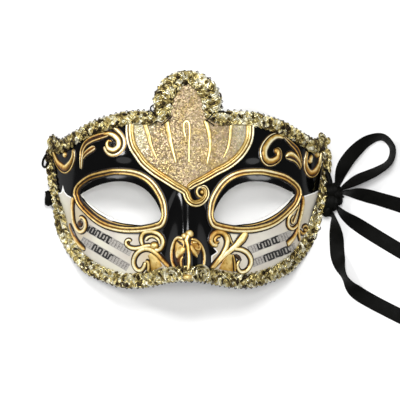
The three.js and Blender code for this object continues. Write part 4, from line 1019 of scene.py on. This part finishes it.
def coil(x, y, reach, turns, lift, start):
    # Flat spiral of yarn, highest at its centre, square to a line between the face's own normal and straight up
    x, y, radius = np.array([x]), np.array([y]), braidSet["coilRadius"]
    n = unit(faceNormal(x, y)[0] + (0, 0, 1.5))
    ex = unit(np.cross((0, 1.0, 0), n))
    a = np.linspace(0, math.tau * turns, int(turns * 16) + 2)[:, None]
    r = reach * (0.12 + 0.88 * a / a[-1])
    line = (onFace(x, y)[0] + ex * r * np.cos(a + start) + np.cross(n, ex) * r * np.sin(a + start)
            + n * (lift - 0.8 * (r / reach) ** 2))
    return roundLine(aboveFloor(line, radius), radius, 7, 0.5, yarn=0.6)


def metalYarn():
    # Each yarn keeps its own shade between olive, pale gold and silver; a fine twist runs round it, its troughs
    # darkened as painted shade, and random cells lighten it as painted glints. It is paler on the cheeks and right of
    # the crown;
    # the foot is painted lighter as painted light where it faces away from the key lamp, and the upper left is darker
    # as painted shade
    look = newLook("metalYarn", Metallic=0.75)
    twist = maths("SINE", times(plus(times(tag("run"), 0.8), tag("turn")), math.tau))
    patch = noise(130, 3)
    glint = times(channels(cells(430))[0], 0.7)
    x, y = placeXY()
    fromMiddle = maths("ABSOLUTE", x)
    shade = plus(times(tag("yarn"), 0.42), plus(glint, between(patch, 0.3, 0.7, -0.31, -0.03)))
    for first, second in (((y, -0.064, -0.054, 0.12, 0.0), (fromMiddle, 0.01, 0.022, 1.0, 0.0)),
                          ((x, -0.085, -0.06, -0.1, 0.0), (y, -0.02, 0.0)),
                          ((y, -0.02, 0.0, 0.1, 0.0), (fromMiddle, 0.04, 0.055)),
                          ((x, 0.002, 0.008, 0.0, 0.13), (y, 0.036, 0.042))):
        shade = plus(shade, times(between(*first), between(*second)))
    colour = ramp(shade, (0.1, 0.02, 0.012, 0.004), (0.22, 0.14, 0.10, 0.03), (0.38, 0.42, 0.33, 0.11),
                  (0.52, 0.72, 0.62, 0.28), (0.66, 0.60, 0.57, 0.42), (0.82, 0.96, 0.92, 0.72))
    give(Base_Color=blendOf(between(twist, -1.0, -0.1, 0.35, 0.0), colour, (0.06, 0.04, 0.012)),
         Roughness=between(patch, 0.3, 0.7, 0.22, 0.36), Normal=bumpOf(twist, 0.5, 0.00012))
    return look


edgePath = rounded(wholeEdge, 2.6)
fromX, edgeY = np.abs(edgePath[:, 0]), edgePath[:, 1]
onRight = ease((edgePath[:, 0] - 76) / 8) * ease((edgeY + 34) / 14) * ease((24 - edgeY) / 9)
edge = edgeFrame(edgePath, 1.3 * onRight, 0.85 * ease((fromX - 36) / 14) * ease((24 - edgeY) / 12))
crownSide = edgeFrame(rounded(crownEdge, 1.5), 0.5)
# The second look is dark: painted shade on the core under the strands, and the dark thread of the edge loops
braidLooks = [metalYarn(), speckled("darkThreadAndGapShade", 700, 3, (0.010, 0.008, 0.004), (0.04, 0.03, 0.014), Roughness=0.7)[0]]
around = yarnBodies(*edge, 20, edgeWidth)
for name, parts, replaced in (("A", around[0:4], ["edge_braid"]), ("B", around[4:8], ()),
                              ("C", around[8:12] + [coreBody(*edge, edgeWidth)], ())):
    makePiece("braidStrand" + name, parts, braidLooks, replaced, 80)
coils = [coil(*row) for row in (  # place, reach, turns, height, start
    (90.2, 25.4, 2.5, 2.2, 3, 0), (90.6, 17.8, 2.4, 2.2, 3, 2), (90.4, 11.2, 2.2, 2.1, 2.6, 4),
    (86.8, 29.2, 1.8, 1.6, 2.6, 1), (-88.6, 24.8, 2.6, 2.2, 3, 3), (-89.8, 18, 2, 1.8, 2.6, 1))]
for x, y, turn in ((-7.8, -62, 0.35), (7, -60.6, -0.2)):
    arc = np.linspace(turn - 0.4, turn + math.pi + 0.4, 30)
    for reach, yarn in ((1.7, 0.5), (2.9, 1.15), (4.1, 0.35), (5.2, 1.05)):
        line = onFace(x + reach * np.cos(arc), y + reach * np.sin(arc), 3.9 - 0.3 * reach)
        coils.append(roundLine(line, braidSet["coilRadius"], 7, 0.5, yarn=yarn))
makePiece("braidLoops", edgeLoops(*edge, 5, edgeWidth, look=1) + coils
          + edgeLoops(*edge, 9, edgeWidth, side=-1, tone=0.55, reach=0.7), braidLooks, (), 80)
makePiece("braidCrown", yarnBodies(*crownSide, 60, crownWidth, startPhase=1.0) + [coreBody(*crownSide, crownWidth)]
          + edgeLoops(*crownSide, 15, crownWidth, look=1), braidLooks, (), 80)

# Loose ends of the thread that holds the braid, with their radii: beside the crown as x, y and height above the face,
# at the sides as x, y, z
crownThreads = [
    [(-16.6, 41.4, 1), (-20, 42.4, 1.4), (-22.8, 43.9, 1.2), (-23.8, 46.6, 0.8), (-21.4, 48.4, 0.8),
     (-18.6, 46.4, 1.6), (-17, 45.6, 1)],
    [(16.8, 42, 1), (19.2, 43.4, 1.6), (21, 45.4, 1.4), (21.8, 48.2, 1.2), (19.6, 49.6, 1.4), (17.6, 47.4, 1.4),
     (16.4, 46.2, 1)],
    [(18.2, 41.6, 1), (20.6, 43.6, 2.6), (24, 43.2, 3), (28.4, 41.6, 1.6), (30.4, 39.4, 1)],
    [(-17.2, 34.8, 0.6), (-14.6, 36.2, 2.6), (-11.4, 39, 2.6), (-10, 40.8, 0.6)],
    [(17.4, 34.6, 0.6), (15.6, 35.8, 2.4), (12.4, 37.8, 2.4), (11.2, 38.6, 0.6)],
    [(12, 37.4, 0.6), (13.6, 39.4, 2.8), (16.8, 42.8, 3), (19.6, 45.4, 1)],
]
threads = [onFace(*np.array(route).T) for route in crownThreads] + [
    [(-92.6, 16.8, 1.4), (-94.6, 13, 1.2), (-95, 9.8, 1), (-93.8, 8.2, 1), (-92.2, 9.4, 1.2), (-91.4, 12, 1.6)],
    [(93.4, -6, 3.6), (93.2, -2, 3.2), (92.2, 2, 2.8), (90.8, 5, 2.4), (89.4, 7, 2)],
]
threadSizes = [0.45, 0.5, 0.45, 0.4, 0.4, 0.35, 0.75, 1.9]
makePiece("blackThreads", [roundLine(route, radius, u=0.5, v=0.0) for route, radius in zip(threads, threadSizes)],
          [satin], (), 80)

# Printed staves on the paper: lines, note heads, stems and beams laid a hair above the face
staves = [  # from, to, dark from, dark to, seed
    ((-66.5, -30.8), (-36.5, -47.6), 0.05, 0.53, 3), ((-69.5, -39.2), (-38.5, -57.3), 0.23, 0.62, 8),
    ((39.5, -46.2), (68.0, -35.4), 0.16, 0.68, 5), ((42.0, -54.6), (70.5, -43.8), 0.24, 0.84, 12)]
staveSet = {"gap": 1.1, "lineWide": 0.2, "band": 5.4, "bar": 1.25, "faintBar": 0.45, "beam": 1.0, "faintBeam": 0.4,
            "step": 1.95, "tall": 2.3, "bandInk": 0.1, "lineInk": 0.42, "faintInk": 0.55,
            "barStep": 1.2, "sunk": -0.1}


def directions(a, b):  # ahead from a to b, and to its left
    ahead = unit(b - a)
    return ahead, np.array([-ahead[1], ahead[0]])


def inkBar(a, b, wide, ink, origin, axes):
    # Bar from a to b in the plane of the stave, in steps short enough to follow the face
    count = max(2, int(np.hypot(*(b - a)) / staveSet["barStep"]) + 1)
    t = np.linspace(0, 1, count)[:, None]
    p = a * (1 - t) + b * t
    side = directions(a, b)[1] * wide / 2
    flat = np.stack([p - side, p + side], 1)
    x, y = np.moveaxis(origin + flat[..., :1] * axes[0] + flat[..., 1:] * axes[1], -1, 0)
    top, low = (onFace(x, y, np.full(x.shape, height)) for height in (0.03 + 0.06 * ink, staveSet["sunk"]))
    return tube(np.stack([low[:, 0], top[:, 0], top[:, 1], low[:, 1]], 1), ink=ink)


def inkBodies(start, end, darkFrom, darkTo, seed):
    # A grey band, five lines on it, and beamed pairs of stems with heads, heavy in the dark part and faint outside it
    s = staveSet
    start, end = np.array(start, float), np.array(end, float)
    length = np.hypot(*(end - start))
    dice = np.random.default_rng(seed)
    fifth = s["band"] / 5
    heights = [i * fifth - 0.8 * s["band"] / 2 for i in range(5)]
    bars = [((0, y), (length, y), fifth + 0.02, s["bandInk"]) for y in heights]
    bars += [((0, k * s["gap"]), (length, k * s["gap"]), s["lineWide"], s["lineInk"]) for k in range(-2, 3)]
    u, count = 0.6, 0
    while u < length - 1.4:
        inDark = darkFrom < u / length < darkTo
        ink, bar, beam = (1.0, s["bar"], s["beam"]) if inDark else (s["faintInk"], s["faintBar"], s["faintBeam"])
        tall, width = s["tall"] * dice.uniform(0.85, 1.08), s["step"] * dice.uniform(0.85, 1.2)
        bar *= dice.uniform(0.75, 1.2)
        bars.append(((u, -tall), (u, tall * dice.uniform(0.7, 1)), bar, ink))
        head = dice.uniform(-1.6, 0.6)
        bars.append(((u - 0.1, head), (u + 0.8, head + 0.15), 0.75, ink * dice.uniform(0.7, 1)))
        if count % 2 == 0 or dice.uniform() < 0.3:
            bars.append(((u, tall - 0.3), (u + width, tall - 0.3), beam, ink))
        if inDark and count % 3 != 1:
            bars.append(((u, 0.3 - tall), (u + width, 0.3 - tall), beam, ink))
        u, count = u + width, count + 1
    return [inkBar(np.array(a), np.array(b), wide, ink, start, directions(start, end)) for a, b, wide, ink in bars]


def printInk():
    look = newLook("printInk", Roughness=0.45)
    tone = plus(tag("ink"), between(noise(600, 3), 0.3, 0.7, -0.12, 0.12))
    give(Base_Color=ramp(tone, (0.15, 0.42, 0.40, 0.36), (0.5, 0.20, 0.18, 0.17), (0.85, 0.008, 0.007, 0.007)))
    return look


makePiece("printedStaves", [body for row in staves for body in inkBodies(*row)], [printInk()], (), 30)

# Floor and light
stageSet = {"floorSize": 6.0, "skyStrength": 0.24}
lights = {  # place in metres, size, power and length over width
    "key": ((0.06, 0.66, 1.48), 0.48, 12.8, 1), "top": ((0.0, 0.07, 1.5), 0.35, 7.6, 1),
    "side": ((-1.15, 0.05, 1.4), 0.64, 2.6, 1), "right": ((1.22, -0.04, 1.4), 0.6, 3.2, 1),
    "glint": ((-1.37, 0.76, 1.4), 0.34, 13.0, 1), "leftLow": ((-1.0, -1.08, 0.66), 0.13, 1.6, 2.4),
    "rightLow": ((0.96, -0.97, 0.66), 0.13, 1.6, 2.4)}
half = stageSet["floorSize"] / 2
floorMesh = bpy.data.meshes.new("floor")
floorMesh.from_pydata([(-half, -half, 0), (half, -half, 0), (half, half, 0), (-half, half, 0)], [], [(0, 1, 2, 3)])
floorMesh.materials.append(speckled("paleFloor", 3, 2, (0.86,) * 3, (0.9,) * 3, Roughness=0.65,
                                    Specular_IOR_Level=0.2)[0])
floor = bpy.data.objects.new("floor", floorMesh)
scene.collection.objects.link(floor)


def softLight(name, at, size, power, long):  # oval light turned to the middle of the mask
    data = bpy.data.lights.new(name, "AREA")
    data.shape, data.size, data.size_y, data.energy = "ELLIPSE", size * long, size, power
    lamp = bpy.data.objects.new(name, data)
    lamp.location = at
    away = np.array(at) - np.array((0, 0, 0.03))
    lamp.rotation_euler = (math.atan2(math.hypot(away[0], away[1]), away[2]), 0, math.atan2(away[0], -away[1]))
    scene.collection.objects.link(lamp)


for name, row in lights.items():
    softLight(name + "Light", *row)
sky = bpy.data.worlds.new("studio")
sky.use_nodes = True
background = sky.node_tree.nodes["Background"]
background.inputs[0].default_value = (1, 1, 1, 1)
background.inputs[1].default_value = stageSet["skyStrength"]
scene.world = sky
scene.view_settings.view_transform = "Standard"
print("stage set")
